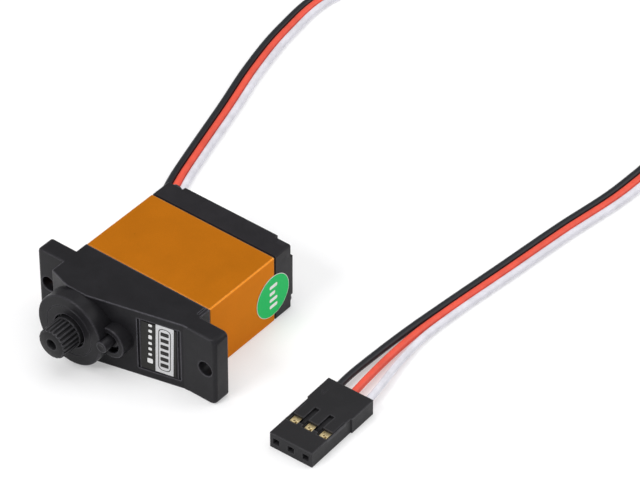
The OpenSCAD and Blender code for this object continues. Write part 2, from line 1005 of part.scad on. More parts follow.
module connector_housing() {
    color([0.12, 0.12, 0.13])
        at_plug()
            difference() {
                union() {
                    translate([-plug_front_w / 2, 0, 0])
                        cube([plug_front_w, plug_len, plug_t]);
                    translate([-plug_w / 2, plug_step, 0])
                        cube([plug_w, plug_len - plug_step, plug_t]);
                }
                for (i = [-1 : 1])
                    translate([i * pin_pitch, 0, 0]) {
                        // cavity for the contact, and the square mouth that a pin enters
                        translate([-0.8, 0.8, 0.35])
                            cube([1.6, plug_len - 2.8, plug_t - 0.35 - latch_t]);
                        translate([-mouth_w / 2, -1, (plug_t - mouth_w) / 2])
                            cube([mouth_w, 3, mouth_w]);
                        // round way in for the wire
                        translate([0, plug_len - 3, plug_t / 2])
                            rotate([-90, 0, 0])
                                cylinder(h = 4, r = wire_d / 2 + 0.08);
                        // window in front of the latch tongue
                        translate([-latch_w / 2, window_front, plug_t - latch_t - 1])
                            cube([latch_w, latch_front - window_front, 2]);
                    }
                // channels that set the latch tongues free: two wide ones, and the outer two
                for (x = [-pin_pitch / 2, pin_pitch / 2])
                    translate([x - (pin_pitch - latch_w) / 2, window_front + 0.5,
                               plug_t - latch_t - eps])
                        cube([pin_pitch - latch_w, latch_back - window_front - 0.5, 2]);
                for (s = [-1, 1])
                    translate([s * (pin_pitch + latch_w / 2 + 0.06) - 0.06, window_front,
                               plug_t - latch_t - eps])
                        cube([0.12, latch_back - window_front, 2]);
            }
}

// Three gold-plated box contacts, each with a crimped barrel around its wire
module connector_contacts() {
    color([0.85, 0.7, 0.35])
        at_plug()
            for (i = [-1 : 1])
                translate([i * pin_pitch, 0, 0])
                    difference() {
                        union() {
                            translate([-0.7, 1.0, 0.5])
                                cube([1.4, 4.3, 1.5]);
                            // plate that the latch tongue holds, seen in the window
                            translate([-0.75, window_front + 0.5, 1.95])
                                cube([1.5, 1.25, 0.15]);
                            translate([-0.5, 5.2, 0.5])
                                cube([1.0, 1.5, 0.6]);
                            translate([0, crimp_start, plug_t / 2])
                                rotate([-90, 0, 0])
                                    cylinder(h = crimp_end - crimp_start, r = 0.62);
                        }
                        translate([-0.4, 0, plug_t / 2 - 0.4])
                            cube([0.8, 5, 0.8]);
                    }
}

top_case();
middle_case();
rear_cover();
case_screws();
name_label();
round_sticker();
output_shaft();
third_gear();
second_gear();
first_gear();
motor_pinion();
gear_pin();
bearing_outer_ring();
bearing_inner_ring();
bearing_balls();
motor_can();
motor_magnets();
motor_shaft();
armature_core();
armature_windings();
commutator();
motor_end_cap();
motor_terminals();
pot_housing();
pot_track();
pot_shaft();
pot_wiper();
circuit_board();
control_chip();
board_parts();
motor_leads();
pot_leads();
lead_grommet();
lead_black();
lead_red();
lead_white();
connector_housing();
connector_contacts();
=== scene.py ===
"""The servo motor's looks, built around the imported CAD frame. Metres, Z up, output shaft towards -Y.

Case pieces are modelled in millimetres in the servo's own layout, (x, v, h): x along the case, v up
from the surface it lies on, and h along the shaft from the joint of top and middle case. lay() then
turns them into the row frame. Plug pieces use (x, y, z) with y running back from the plug's front.
"""
import math

import bmesh
import bpy
from mathutils import Matrix, Vector


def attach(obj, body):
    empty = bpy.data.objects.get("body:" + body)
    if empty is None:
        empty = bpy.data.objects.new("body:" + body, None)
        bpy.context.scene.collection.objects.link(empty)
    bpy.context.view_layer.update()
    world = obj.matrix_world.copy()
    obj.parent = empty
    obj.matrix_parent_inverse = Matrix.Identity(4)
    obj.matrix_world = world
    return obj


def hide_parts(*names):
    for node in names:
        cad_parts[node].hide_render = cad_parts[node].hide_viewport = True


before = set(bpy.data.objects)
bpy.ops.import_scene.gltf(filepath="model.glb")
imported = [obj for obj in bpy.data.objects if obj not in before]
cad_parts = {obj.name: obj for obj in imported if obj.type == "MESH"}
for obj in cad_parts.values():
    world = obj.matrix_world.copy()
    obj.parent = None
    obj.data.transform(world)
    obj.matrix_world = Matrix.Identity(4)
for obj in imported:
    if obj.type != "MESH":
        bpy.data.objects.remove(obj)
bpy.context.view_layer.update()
MM = 0.001

# ---- Camera, at the photograph's viewing angle ----

AZIMUTH = math.radians(38.22)
ELEVATION = math.radians(40.0)
ROLL = math.radians(0.29)
AIM = Vector((0.0053, 0.0303, 0.0))
DISTANCE = 0.5435
LENS = 207.7


def add_camera():
    back = Vector((
        math.sin(AZIMUTH) * math.cos(ELEVATION),
        -math.cos(AZIMUTH) * math.cos(ELEVATION),
        math.sin(ELEVATION),
    ))
    level = Vector((math.cos(AZIMUTH), math.sin(AZIMUTH), 0))
    rise = back.cross(level)
    right = level * math.cos(ROLL) + rise * math.sin(ROLL)
    up = back.cross(right)
    data = bpy.data.cameras.new("camera")
    data.lens = LENS
    data.sensor_width = 36
    data.clip_start = 0.05
    data.clip_end = 5
    camera = bpy.data.objects.new("camera", data)
    camera.matrix_world = Matrix((
        (right.x, up.x, back.x, AIM.x + back.x * DISTANCE),
        (right.y, up.y, back.y, AIM.y + back.y * DISTANCE),
        (right.z, up.z, back.z, AIM.z + back.z * DISTANCE),
        (0, 0, 0, 1),
    ))
    bpy.context.scene.collection.objects.link(camera)
    bpy.context.scene.camera = camera


add_camera()

# ---- Dimensions, in millimetres ----

CASE_LEN = 22.8
CASE_W = 11.8
MIDDLE_H = 14.4
COVER_BACK = -18.6
EAR_REACH = 5.0
EAR_BACK = 2.05
EAR_FRONT = 4.9
EAR_HOLE_R = 1.2
EAR_HOLE_OUT = 3.1
SHOULDER_H = 7.35
FLAT_H = 8.5
BOSS_R = 5.8
BOSS_H = 10.65
RING_R = 4.13
BUMP_R = 2.5
BUMP_H = 9.1
HOLLOW_R = 1.6
HOLLOW_H = 8.1
POST_R = 0.88
POST_H = 10.85
SPLINE_BASE = 11.2
SPLINE_TIP = 14.45
SPLINE_TEETH = 21
SPLINE_R = 2.4
SPLINE_ROOT_R = 2.19
JOINT_Y = -2.15
MID_V = CASE_W / 2
OUT_X = -CASE_LEN / 2 + 5.85
PIN_X = OUT_X + 6.5
MOTOR_X = PIN_X + 4.4
BUMP_X = PIN_X - 0.35
POST_X = BUMP_X - 0.05
POST_V = MID_V + 0.3
SCREW_IN = 1.35
POCKET_FLOOR = -17.95
SUNK_FLOOR = -17.1
POCKET_LEN = 2.85
POCKET_W = 2.4
EXIT_H = -15.4
EXIT_V = 5.4
SHOULDER_END = 3.7
FLAT_START = 7.3
SLOPE_END = 22.0
PANEL_START = 15.05
SLOPE = math.atan((FLAT_H - EAR_FRONT) / (SLOPE_END - FLAT_START))
PANEL_X = -CASE_LEN / 2 + PANEL_START
PANEL_H = FLAT_H - (PANEL_START - FLAT_START) * math.tan(SLOPE)
PIN_HOLE_R = 0.6
SCREW_HOLE_R = 0.75

# From the servo's layout and from the plug's layout, in millimetres, to the row frame in metres
LAY = Matrix.Scale(MM, 4) @ Matrix(((1, 0, 0, 0), (0, 0, -1, JOINT_Y), (0, 1, 0, 0), (0, 0, 0, 1)))
PLUG_TURN = math.radians(1.5)
PLUG_POS = Vector((31.0, -8.6, 0))
PLUG_PLACE = Matrix.Translation(PLUG_POS) @ Matrix.Rotation(PLUG_TURN, 4, "Z")
AT_PLUG = Matrix.Scale(MM, 4) @ PLUG_PLACE
# From the sloping label panel's own plane to the servo's layout
PANEL = Matrix.Translation((PANEL_X, 0, PANEL_H)) @ Matrix.Rotation(SLOPE, 4, "Y")

# ---- Mesh helpers ----


def solid(name, verts, faces):
    mesh = bpy.data.meshes.new(name)
    mesh.from_pydata(verts, [], faces)
    bm = bmesh.new()
    bm.from_mesh(mesh)
    bmesh.ops.recalc_face_normals(bm, faces=bm.faces)
    bm.to_mesh(mesh)
    bm.free()
    obj = bpy.data.objects.new(name, mesh)
    bpy.context.scene.collection.objects.link(obj)
    return obj


def plan(a, b, t):
    """Points of an outline seen along the last axis."""
    return (a, b, t)


def profile(a, b, t):
    """Points of an outline in x and h, with the extrusion along v."""
    return (a, t, b)


def extrude(points, low, high, place=plan):
    n = len(points)
    verts = [place(a, b, t) for t in (low, high) for a, b in points]
    faces = [list(range(n)), list(range(n, 2 * n))]
    faces += [[i, (i + 1) % n, (i + 1) % n + n, i + n] for i in range(n)]
    return solid("work", verts, faces)


def lathe(points, x=0.0, v=0.0, segments=96):
    """Turns (radius, h) points round an axis along h. Radius 0 is a point on the axis."""
    verts, rings = [], []
    for r, h in points:
        if r == 0:
            rings.append([len(verts)])
            verts.append((x, v, h))
        else:
            rings.append(list(range(len(verts), len(verts) + segments)))
            for k in range(segments):
                a = 2 * math.pi * (k + 0.5) / segments
                verts.append((x + r * math.cos(a), v + r * math.sin(a), h))
    faces = []
    for lower, upper in zip(rings, rings[1:]):
        for k in range(segments):
            near, far = k % len(lower), (k + 1) % len(lower)
            above, beyond = (k + 1) % len(upper), k % len(upper)
            face = [lower[near], lower[far], upper[above], upper[beyond]]
            faces.append([i for j, i in enumerate(face) if i not in face[:j]])
    return solid("work", verts, faces)


def rim_points(radius, top, rim, steps):
    """Quarter-round edge of a lathe outline, from its side up to its top."""
    turns = [math.radians(90 * k / steps) for k in range(1, steps + 1)]
    return [(radius - rim + rim * math.cos(a), top - rim + rim * math.sin(a)) for a in turns]


def turned(degrees, axis="Z"):
    return Matrix.Rotation(math.radians(degrees), 4, axis)


def rod(x, v, low, high, radius, flare=0.0, segments=96):
    """A cylinder along h, whose two ends widen by flare: a cutter for a hole with eased mouths."""
    points = [(0, low), (radius, low), (radius, high), (0, high)]
    if flare:
        wide = radius + 2 * flare
        points = [(0, low - flare), (wide, low - flare), (radius, low + flare)]
        points += [(radius, high - flare), (wide, high + flare), (0, high + flare)]
    return lathe(points, x, v, segments)


def box(low, high):
    outline = [(low[0], low[1]), (high[0], low[1]), (high[0], high[1]), (low[0], high[1])]
    return extrude(outline, low[2], high[2])


def rounded(length, width, radius, middle=(0, 0), steps=8):
    """Outline of a rectangle with round corners."""
    points = []
    corners = ((1, 1, 0), (-1, 1, 90), (-1, -1, 180), (1, -1, 270))
    for sx, sy, start in corners:
        cx = middle[0] + sx * (length / 2 - radius)
        cy = middle[1] + sy * (width / 2 - radius)
        for k in range(steps + 1):
            a = math.radians(start + 90 * k / steps)
            points.append((cx + radius * math.cos(a), cy + radius * math.sin(a)))
    return points


def filleted(points, radius, steps=4):
    """Outline with each corner rounded to about that radius. radius may be a list, one a corner."""
    made = []
    for i, p in enumerate(points):
        r = radius[i] if isinstance(radius, (list, tuple)) else radius
        here = Vector(p)
        before = Vector(points[i - 1]) - here
        after = Vector(points[(i + 1) % len(points)]) - here
        if r <= 0:
            made.append(tuple(here))
            continue
        half = before.angle(after) / 2
        reach = min(r / math.tan(half), before.length * 0.45, after.length * 0.45)
        start = here + before.normalized() * reach
        end = here + after.normalized() * reach
        for k in range(steps + 1):
            t = k / steps
            made.append(tuple(start * (1 - t) ** 2 + here * 2 * t * (1 - t) + end * t ** 2))
    return made


def apply_modifiers(obj):
    graph = bpy.context.evaluated_depsgraph_get()
    mesh = bpy.data.meshes.new_from_object(obj.evaluated_get(graph))
    old = obj.data
    obj.modifiers.clear()
    obj.data = mesh
    bpy.data.meshes.remove(old)
    return obj


def combine(obj, others, operation):
    for other in others:
        modifier = obj.modifiers.new("combine", "BOOLEAN")
        modifier.object = other
        modifier.operation = operation
        modifier.solver = "EXACT"
        apply_modifiers(obj)
        mesh = other.data
        bpy.data.objects.remove(other)
        bpy.data.meshes.remove(mesh)
    return obj


def carve(obj, *others):
    return combine(obj, others, "DIFFERENCE")


def weld(obj, *others):
    return combine(obj, others, "UNION")


def bevel(obj, width, weight=None, segments=3, angle=40):
    """Rounds the sharp edges. weight(middle, direction) scales the width of each edge."""
    modifier = obj.modifiers.new("bevel", "BEVEL")
    modifier.width = width
    modifier.segments = segments
    modifier.use_clamp_overlap = True
    if weight is None:
        modifier.limit_method = "ANGLE"
        modifier.angle_limit = math.radians(angle)
        return apply_modifiers(obj)
    bm = bmesh.new()
    bm.from_mesh(obj.data)
    weights = []
    for edge in bm.edges:
        share = 0.0
        if len(edge.link_faces) == 2 and edge.calc_face_angle(0) > math.radians(angle):
            a, b = (vert.co for vert in edge.verts)
            share = weight((a + b) / 2, (b - a).normalized())
        weights.append(share)
    bm.free()
    attribute = obj.data.attributes.new("bevel_weight_edge", "FLOAT", "EDGE")
    attribute.data.foreach_set("value", weights)
    modifier.limit_method = "WEIGHT"
    return apply_modifiers(obj)


def joined(name, parts):
    """Several objects' meshes as one object, each part's material kept."""
    bm = bmesh.new()
    materials = []
    for part in parts:
        start = len(bm.faces)
        bm.from_mesh(part.data)
        bm.faces.ensure_lookup_table()
        for face in bm.faces[start:]:
            used = part.data.materials[face.material_index] if part.data.materials else None
            if used not in materials:
                materials.append(used)
            face.material_index = materials.index(used)
        bpy.data.objects.remove(part)
    mesh = bpy.data.meshes.new(name)
    bm.to_mesh(mesh)
    bm.free()
    for used in materials:
        if used is not None:
            mesh.materials.append(used)
    obj = bpy.data.objects.new(name, mesh)
    bpy.context.scene.collection.objects.link(obj)
    return obj


def clean(obj, distance=0.0005):
    """Merges the near-duplicate points and flat slivers that cutting leaves."""
    bm = bmesh.new()
    bm.from_mesh(obj.data)
    bmesh.ops.remove_doubles(bm, verts=bm.verts, dist=distance)
    bmesh.ops.dissolve_degenerate(bm, edges=bm.edges, dist=distance)
    bm.to_mesh(obj.data)
    bm.free()
    return obj


def finished(obj, name, body, place, material, replaces):
    """Puts a modelled piece in the row frame, shades it and hangs it on its body."""
    obj.name = name
    obj.data.name = name
    obj.data.transform(place)
    if material is not None:
        obj.data.materials.clear()
        obj.data.materials.append(material)
    shade(obj)
    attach(obj, body)
    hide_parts(*replaces)
    return obj


def shade(obj, sharp_from=32):
    obj.data.polygons.foreach_set("use_smooth", [True] * len(obj.data.polygons))
    obj.data.set_sharp_from_angle(angle=math.radians(sharp_from))
    modifier = obj.modifiers.new("normals", "WEIGHTED_NORMAL")
    modifier.keep_sharp = True
    apply_modifiers(obj)


# ---- Material helpers ----


class Look:
    """A node material around one Principled shader, textured in the row frame's own metres."""

    def __init__(self, name, colour, rough, metallic=0.0, **constants):
        self.material = bpy.data.materials.new(name)
        self.material.use_nodes = True
        self.tree = self.material.node_tree
        self.bsdf = self.tree.nodes["Principled BSDF"]
        self.place = self.node("ShaderNodeTexCoord").outputs["Object"]
        self.set("Base Color", (*colour, 1))
        self.set("Roughness", rough)
        self.set("Metallic", metallic)
        for key, value in constants.items():
            self.set(key.replace("_", " "), value)

    def set(self, name, value):
        self.bsdf.inputs[name].default_value = value

    def node(self, kind, **settings):
        made = self.tree.nodes.new(kind)
        for key, value in settings.items():
            setattr(made, key, value)
        return made

    def link(self, source, target):
        self.tree.links.new(source, target)

    def feed(self, target, value):
        if isinstance(value, bpy.types.NodeSocket):
            self.link(value, target)
        elif isinstance(value, tuple) and len(value) == 3 and target.type == "RGBA":
            target.default_value = (*value, 1)
        else:
            target.default_value = value

    def noise(self, scale, detail=3.0, rough=0.55, stretch=None, distortion=0.0):
        made = self.node("ShaderNodeTexNoise")
        made.inputs["Scale"].default_value = scale
        made.inputs["Detail"].default_value = detail
        made.inputs["Roughness"].default_value = rough
        made.inputs["Distortion"].default_value = distortion
        place = self.place
        if stretch is not None:
            mapping = self.node("ShaderNodeMapping")
            mapping.inputs["Scale"].default_value = stretch
            self.link(self.place, mapping.inputs["Vector"])
            place = mapping.outputs["Vector"]
        self.link(place, made.inputs["Vector"])
        return made.outputs["Fac"]

    def math(self, operation, a, b):
        made = self.node("ShaderNodeMath", operation=operation)
        self.feed(made.inputs[0], a)
        self.feed(made.inputs[1], b)
        return made.outputs[0]

    def spread(self, value, low, high, to_low=0.0, to_high=1.0):
        made = self.node("ShaderNodeMapRange", clamp=True)
        for index, given in enumerate((value, low, high, to_low, to_high)):
            self.feed(made.inputs[index], given)
        return made.outputs[0]

    def mix(self, factor, a, b):
        made = self.node("ShaderNodeMix", data_type="RGBA")
        self.feed(made.inputs["Factor"], factor)
        self.feed(made.inputs[6], a)
        self.feed(made.inputs[7], b)
        return made.outputs[2]

    def edges(self, reach):
        """0 on flat ground, rising to 1 along outside edges, within that reach in metres."""
        inside = self.node("ShaderNodeAmbientOcclusion", inside=True, only_local=True, samples=6)
        inside.inputs["Distance"].default_value = reach
        return self.spread(inside.outputs["AO"], 0.93, 0.6)

    def bump(self, height, distance, strength=1.0, after=None):
        made = self.node("ShaderNodeBump")
        made.inputs["Strength"].default_value = strength
        made.inputs["Distance"].default_value = distance
        self.link(height, made.inputs["Height"])
        if after is not None:
            self.link(after, made.inputs["Normal"])
        return made.outputs["Normal"]

    def use(self, name, source):
        self.link(source, self.bsdf.inputs[name])


def shades(colour, factor):
    return tuple(min(1.0, c * factor) for c in colour)


# How far the painted edge highlight reaches from an outside edge, in metres, and how much lighter it
# paints plastic
HIGHLIGHT_REACH = 0.00024
HIGHLIGHT_GAIN = 9.5


def moulded(name, colour, rough=0.42, grain=0.000012, mottling=0.16, highlight_strength=0.8, **constants):
    """Moulded plastic: fine spark-eroded grain, faint flow mottling, and a painted highlight: lighter
    colour along outside edges.
    """
    look = Look(name, colour, rough, **constants)
    flow = look.noise(260, 4, 0.6, distortion=0.6)
    grit = look.noise(9500, 2, 0.7)
    pits = look.noise(2600, 3, 0.6)
    base = look.mix(
        look.spread(flow, 0.3, 0.7),
        shades(colour, 1 - mottling),
        shades(colour, 1 + mottling),
    )
    specks = look.spread(look.noise(5200, 1, 0.4), 0.70, 0.78, 0, 0.35)
    base = look.mix(specks, base, shades(colour, 1.9))
    # Painted highlight: outside edges get a lighter colour, in patches, standing in for light caught
    # on them.
    patchy_highlight = look.spread(look.noise(1500, 3), 0.35, 0.65, 0.6 * highlight_strength, highlight_strength)
    edge_highlight = look.math("MULTIPLY", look.edges(HIGHLIGHT_REACH), patchy_highlight)
    base = look.mix(edge_highlight, base, shades(colour, HIGHLIGHT_GAIN))
    look.use("Base Color", base)
    uneven = look.spread(look.noise(620, 4, 0.65), 0.3, 0.7, rough - 0.05, rough + 0.07)
    look.use("Roughness", look.math("SUBTRACT", uneven, look.math("MULTIPLY", edge_highlight, 0.1)))
    coarse = look.bump(pits, grain * 1.4, 0.5)
    look.use("Normal", look.bump(grit, grain, 0.8, coarse))
    return look.material


def anodised(name, colour):
    """Orange anodised aluminium: fine blasted grain under a dyed film, and a painted highlight: bright
    yellow-orange along outside edges.
    """
    look = Look(name, colour, 0.30, metallic=0.5, Specular_IOR_Level=0.05)
    look.set("Specular Tint", (1.0, 0.55, 0.2, 1))
    cloud = look.noise(190, 4, 0.6)
    grain = look.noise(7000, 2, 0.8)
    fine_grain = look.noise(16000, 1, 0.6)
    base = look.mix(look.spread(cloud, 0.3, 0.7), shades(colour, 0.95), shades(colour, 1.05))
    base = look.mix(look.spread(grain, 0.3, 0.7, 0.0, 0.5), base, shades(colour, 0.84))
    base = look.mix(look.spread(fine_grain, 0.6, 0.75, 0.0, 0.3), base, shades(colour, 1.25))
    # Painted highlight: outside edges are mixed towards a bright yellow-orange, standing in for light
    # caught on them.
    edge_highlight = look.math(
        "MULTIPLY", look.edges(0.0002), look.spread(look.noise(2100, 3), 0.3, 0.6, 0.15, 0.55)
    )
    base = look.mix(edge_highlight, base, (0.95, 0.62, 0.25))
    look.use("Base Color", base)
    rough = look.spread(cloud, 0.25, 0.75, 0.27, 0.34)
    look.use("Roughness", look.math("SUBTRACT", rough, look.math("MULTIPLY", edge_highlight, 0.12)))
    look.use("Normal", look.bump(grain, 0.000006, 0.6, look.bump(fine_grain, 0.000003, 0.5)))
    return look.material


def metal(name, colour, rough, scratch=0.000004, stretch=(1, 1, 1), stain=0.12, metallic=1.0):
    """Bare or plated metal with fine directional scratches and uneven tarnish."""
    look = Look(name, colour, rough, metallic=metallic)
    lines = look.noise(5200, 3, 0.7, stretch=stretch)
    cloud = look.noise(900, 4, 0.6)
    dull = shades(colour, 1 - 2 * stain)
    base = look.mix(look.spread(cloud, 0.35, 0.75), shades(colour, 1 + stain * 0.3), dull)
    look.use("Base Color", base)
    look.use("Roughness", look.spread(lines, 0.2, 0.8, rough * 0.75, min(1.0, rough * 1.35)))
    look.use("Normal", look.bump(lines, scratch, 0.7))
    return look.material


def insulation(name, colour, rough=0.36, **constants):
    """Soft wire insulation: slight waviness along the wire, handling marks and a soft gloss."""
    look = Look(name, colour, rough, **constants)
    waves = look.noise(520, 2, 0.5)
    fine = look.noise(6500, 3, 0.6)
    marks = look.spread(look.noise(1400, 4, 0.65), 0.52, 0.72)
    base = look.mix(look.spread(waves, 0.3, 0.7), shades(colour, 0.9), shades(colour, 1.07))
    base = look.mix(look.math("MULTIPLY", marks, 0.22), base, shades(colour, 0.72))
    look.use("Base Color", base)
    look.use("Roughness", look.spread(fine, 0.25, 0.75, rough - 0.05, rough + 0.09))
    soft = look.bump(waves, 0.000008, 0.5)
    look.use("Normal", look.bump(fine, 0.000006, 0.5, soft))
    return look.material


def film(name, colour, rough=0.3, metallic=0.0, **constants):
    """Printed film: faint orange-peel and ink that varies a little."""
    look = Look(name, colour, rough, metallic=metallic, **constants)
    peel = look.noise(1900, 3, 0.55)
    ink = look.noise(4200, 3, 0.7)
    base = look.mix(look.spread(ink, 0.3, 0.7), shades(colour, 0.94), shades(colour, 1.05))
    look.use("Base Color", base)
    look.use("Roughness", look.spread(peel, 0.3, 0.7, rough * 0.8, rough * 1.3))
    look.use("Normal", look.bump(peel, 0.00001, 0.45))
    return look.material


def coil(name, colour):
    """Enamelled copper wire laid in turns, with painted shade darkening the grooves between them."""
    look = Look(name, colour, 0.28, metallic=1.0, Coat_Weight=0.6)
    wave = look.node("ShaderNodeTexWave", bands_direction="DIAGONAL")
    wave.inputs["Scale"].default_value = 1700
    wave.inputs["Distortion"].default_value = 0.8
    look.link(look.place, wave.inputs["Vector"])
    turns = wave.outputs["Fac"]
    # Painted shade: the grooves between turns are darker.
    look.use("Base Color", look.mix(turns, shades(colour, 0.35), colour))
    look.use("Roughness", look.spread(look.noise(2500), 0.3, 0.7, 0.22, 0.4))
    look.use("Normal", look.bump(turns, 0.00004, 0.8))
    return look.material


def board_face(name):
    """Solder mask over copper: darker board, faintly raised tracks."""
    green = (0.015, 0.12, 0.05)
    look = Look(name, green, 0.3, Coat_Weight=0.4)
    brick = look.node("ShaderNodeTexBrick")
    brick.inputs["Scale"].default_value = 420
    brick.inputs["Mortar Size"].default_value = 0.035
    look.link(look.place, brick.inputs["Vector"])
    tracks = look.math("SUBTRACT", 1.0, brick.outputs["Fac"])
    look.use("Base Color", look.mix(tracks, (0.03, 0.2, 0.08), green))
    look.use("Roughness", look.spread(look.noise(1500), 0.3, 0.7, 0.24, 0.38))
    look.use("Normal", look.bump(tracks, 0.00002, 0.6))
    return look.material


def ceramic(name, colour, rough=0.55):
    """Sintered or fired material: gritty, with pores, and painted shade darkening them."""
    look = Look(name, colour, rough)
    pores = look.node("ShaderNodeTexVoronoi")
    pores.inputs["Scale"].default_value = 6000
    look.link(look.place, pores.inputs["Vector"])
    depth = look.spread(pores.outputs["Distance"], 0.0, 0.4)
    # Painted shade: each pore is darker towards its middle.
    look.use("Base Color", look.mix(depth, shades(colour, 0.6), colour))
    look.use("Roughness", look.spread(look.noise(3000), 0.3, 0.7, rough - 0.08, rough + 0.1))
    look.use("Normal", look.bump(depth, 0.000012, 0.7))
    return look.material


# ---- Materials ----

BLACK = moulded("black_nylon", (0.0145, 0.0140, 0.0160), 0.34, Specular_IOR_Level=0.13)
COVER_BLACK = moulded(
    "cover_black", (0.0190, 0.0178, 0.0205), 0.36, highlight_strength=0.05, Specular_IOR_Level=0.13
)
SHAFT_BLACK = moulded(
    "shaft_black", (0.0140, 0.0138, 0.0150), 0.36, grain=0.000008, Specular_IOR_Level=0.14
)
PLUG_BLACK = moulded(
    "plug_black", (0.0175, 0.0172, 0.0190), 0.45, highlight_strength=0.25, mottling=0.1, Specular_IOR_Level=0.18
)
ORANGE = anodised("orange_anodised", (0.64, 0.197, 0.010))
RUBBER = insulation("grommet_rubber", (0.016, 0.016, 0.018), 0.5, Specular_IOR_Level=0.2)
WIRE_BLACK = insulation("wire_black", (0.013, 0.014, 0.018), 0.36, Specular_IOR_Level=0.3)
WIRE_RED = insulation("wire_red", (0.82, 0.095, 0.055), 0.38, Specular_IOR_Level=0.35)
WIRE_WHITE = insulation("wire_white", (0.74, 0.73, 0.79), 0.38, Specular_IOR_Level=0.35)
GOLD = metal("contact_gold", (0.86, 0.70, 0.38), 0.34, stain=0.14, metallic=0.6)
STEEL = metal("ground_steel", (0.60, 0.60, 0.62), 0.2, stretch=(1, 8, 1))
DARK_STEEL = metal("blackened_steel", (0.10, 0.10, 0.11), 0.38)
BEARING_STEEL = metal("bearing_steel", (0.68, 0.69, 0.71), 0.12)
CAN_STEEL = metal("can_steel", (0.62, 0.62, 0.64), 0.28, stretch=(1, 6, 1))
CORE_STEEL = metal("core_laminations", (0.34, 0.34, 0.36), 0.42, stretch=(0.4, 12, 0.4))
BRASS = metal("pinion_brass", (0.80, 0.58, 0.26), 0.25)
BRONZE = metal("terminal_bronze", (0.76, 0.55, 0.30), 0.3)
COPPER = metal("commutator_copper", (0.80, 0.42, 0.24), 0.3)
WINDING = coil("copper_windings", (0.62, 0.22, 0.07))
ACETAL = moulded("natural_acetal", (0.72, 0.69, 0.58), 0.35, highlight_strength=0.2, mottling=0.05)
CAP_NYLON = moulded("cap_nylon", (0.62, 0.60, 0.50), 0.42, highlight_strength=0.2, mottling=0.06)
POT_BLUE = moulded("pot_blue", (0.03, 0.09, 0.28), 0.4, highlight_strength=0.3)
CARBON = ceramic("carbon_track", (0.02, 0.02, 0.02), 0.6)
FERRITE = ceramic("ferrite", (0.06, 0.06, 0.065), 0.6)
CHIP = moulded("chip_epoxy", (0.012, 0.012, 0.013), 0.5)
PARTS = ceramic("part_ceramic", (0.28, 0.19, 0.11), 0.45)
BOARD = board_face("board_green")
LEAD_RED = insulation("inner_lead_red", (0.62, 0.03, 0.02))
LEAD_YELLOW = insulation("inner_lead_yellow", (0.72, 0.52, 0.05))
LABEL_BLACK = film("label_black", (0.018, 0.0175, 0.016), 0.32, Specular_IOR_Level=0.2)
LABEL_SILVER = film("label_silver", (0.62, 0.62, 0.63), 0.34, metallic=0.35)
LABEL_WHITE = film("label_white", (0.78, 0.78, 0.78), 0.35)
STICKER_GREEN = film("sticker_green", (0.004, 0.56, 0.125), 0.34, Specular_IOR_Level=0.1)
STICKER_WHITE = film("sticker_white", (0.85, 0.88, 0.85), 0.36)

CAD_LOOKS = (
    (ACETAL, "first_gear", "second_gear", "third_gear"),
    (BRASS, "motor_pinion"),
    (STEEL, "gear_pin", "motor_shaft"),
    (BEARING_STEEL, "bearing_outer_ring", "bearing_inner_ring", "bearing_balls"),
    (CAN_STEEL, "motor_can"),
    (FERRITE, "motor_magnets"),
    (CORE_STEEL, "armature_core"),
    (WINDING, "armature_windings"),
    (COPPER, "commutator"),
    (CAP_NYLON, "motor_end_cap", "pot_shaft"),
    (BRONZE, "motor_terminals", "pot_wiper"),
    (POT_BLUE, "pot_housing"),
    (CARBON, "pot_track"),
    (BOARD, "circuit_board"),
    (CHIP, "control_chip"),
    (PARTS, "board_parts"),
    (LEAD_RED, "motor_leads"),
    (LEAD_YELLOW, "pot_leads"),
)
for look, *node_names in CAD_LOOKS:
    for node_name in node_names:
        for material_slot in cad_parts[node_name].material_slots:
            material_slot.material = look

# ---- Lead ----

# Middle line of the three-wire ribbon, from the grommet to the plug, in millimetres. Each row is
# x, y, z, the spacing of the wires, and the ribbon's roll in degrees: 0 is flat, 90 on edge.
GROMMET_FACE = (-CASE_LEN / 2 - 0.5, JOINT_Y - EXIT_H, EXIT_V)
ROUTE = [
    (*GROMMET_FACE, 1.2, 90),
    (-12.8, 13.45, 5.2, 1.2, 88),
    (-13.7, 14.4, 4.5, 1.25, 80),
    (-14.5, 16.2, 3.3, 1.25, 60),
    (-15.8, 19.2, 1.9, 1.25, 32),
    (-17.4, 22.8, 0.9, 1.2, 10),
    (-19.6, 28.2, 0.62, 1.2, 2),
    (-21.65, 34.8, 0.6, 1.2, 0),
    (-24.75, 45.4, 0.6, 1.2, 0),
    (-28, 56, 0.6, 1.2, 0),
    (-30.3, 66.5, 0.6, 1.2, 0),
    (-31, 78, 0.6, 1.2, 0),
    (-25.5, 91, 0.9, 1.2, 15),
    (-9.5, 106, 1.6, 1.2, 55),
    (5, 114.5, 1.85, 1.2, 95),
    (17.5, 111, 1.5, 1.2, 140),
    (27, 97, 0.7, 1.2, 175),
    (33.5, 82, 0.6, 1.2, 180),
    (34.2, 67.5, 0.6, 1.2, 180),
    (32.5, 53.5, 0.6, 1.2, 180),
    (31.2, 41, 0.6, 1.2, 180),
    (29.9, 29, 0.6, 1.2, 180),
    (29.4, 21.5, 0.7, 1.35, 180),
    (29.7, 14.5, 1, 1.85, 180),
    (30.3, 8.8, 1.3, 2.4, 180),
]
PLUG_LEN = 13.9
PLUG_T = 2.6
PIN_PITCH = 2.54
CRIMP_END = 10.7
WIRE_D = 1.15
PLUG_AXIS = Vector((math.sin(PLUG_TURN), -math.cos(PLUG_TURN), 0))
for along in (PLUG_LEN, CRIMP_END + 0.02):
    ROUTE.append((*(PLUG_PLACE @ Vector((0, along, PLUG_T / 2))), PIN_PITCH, 180))


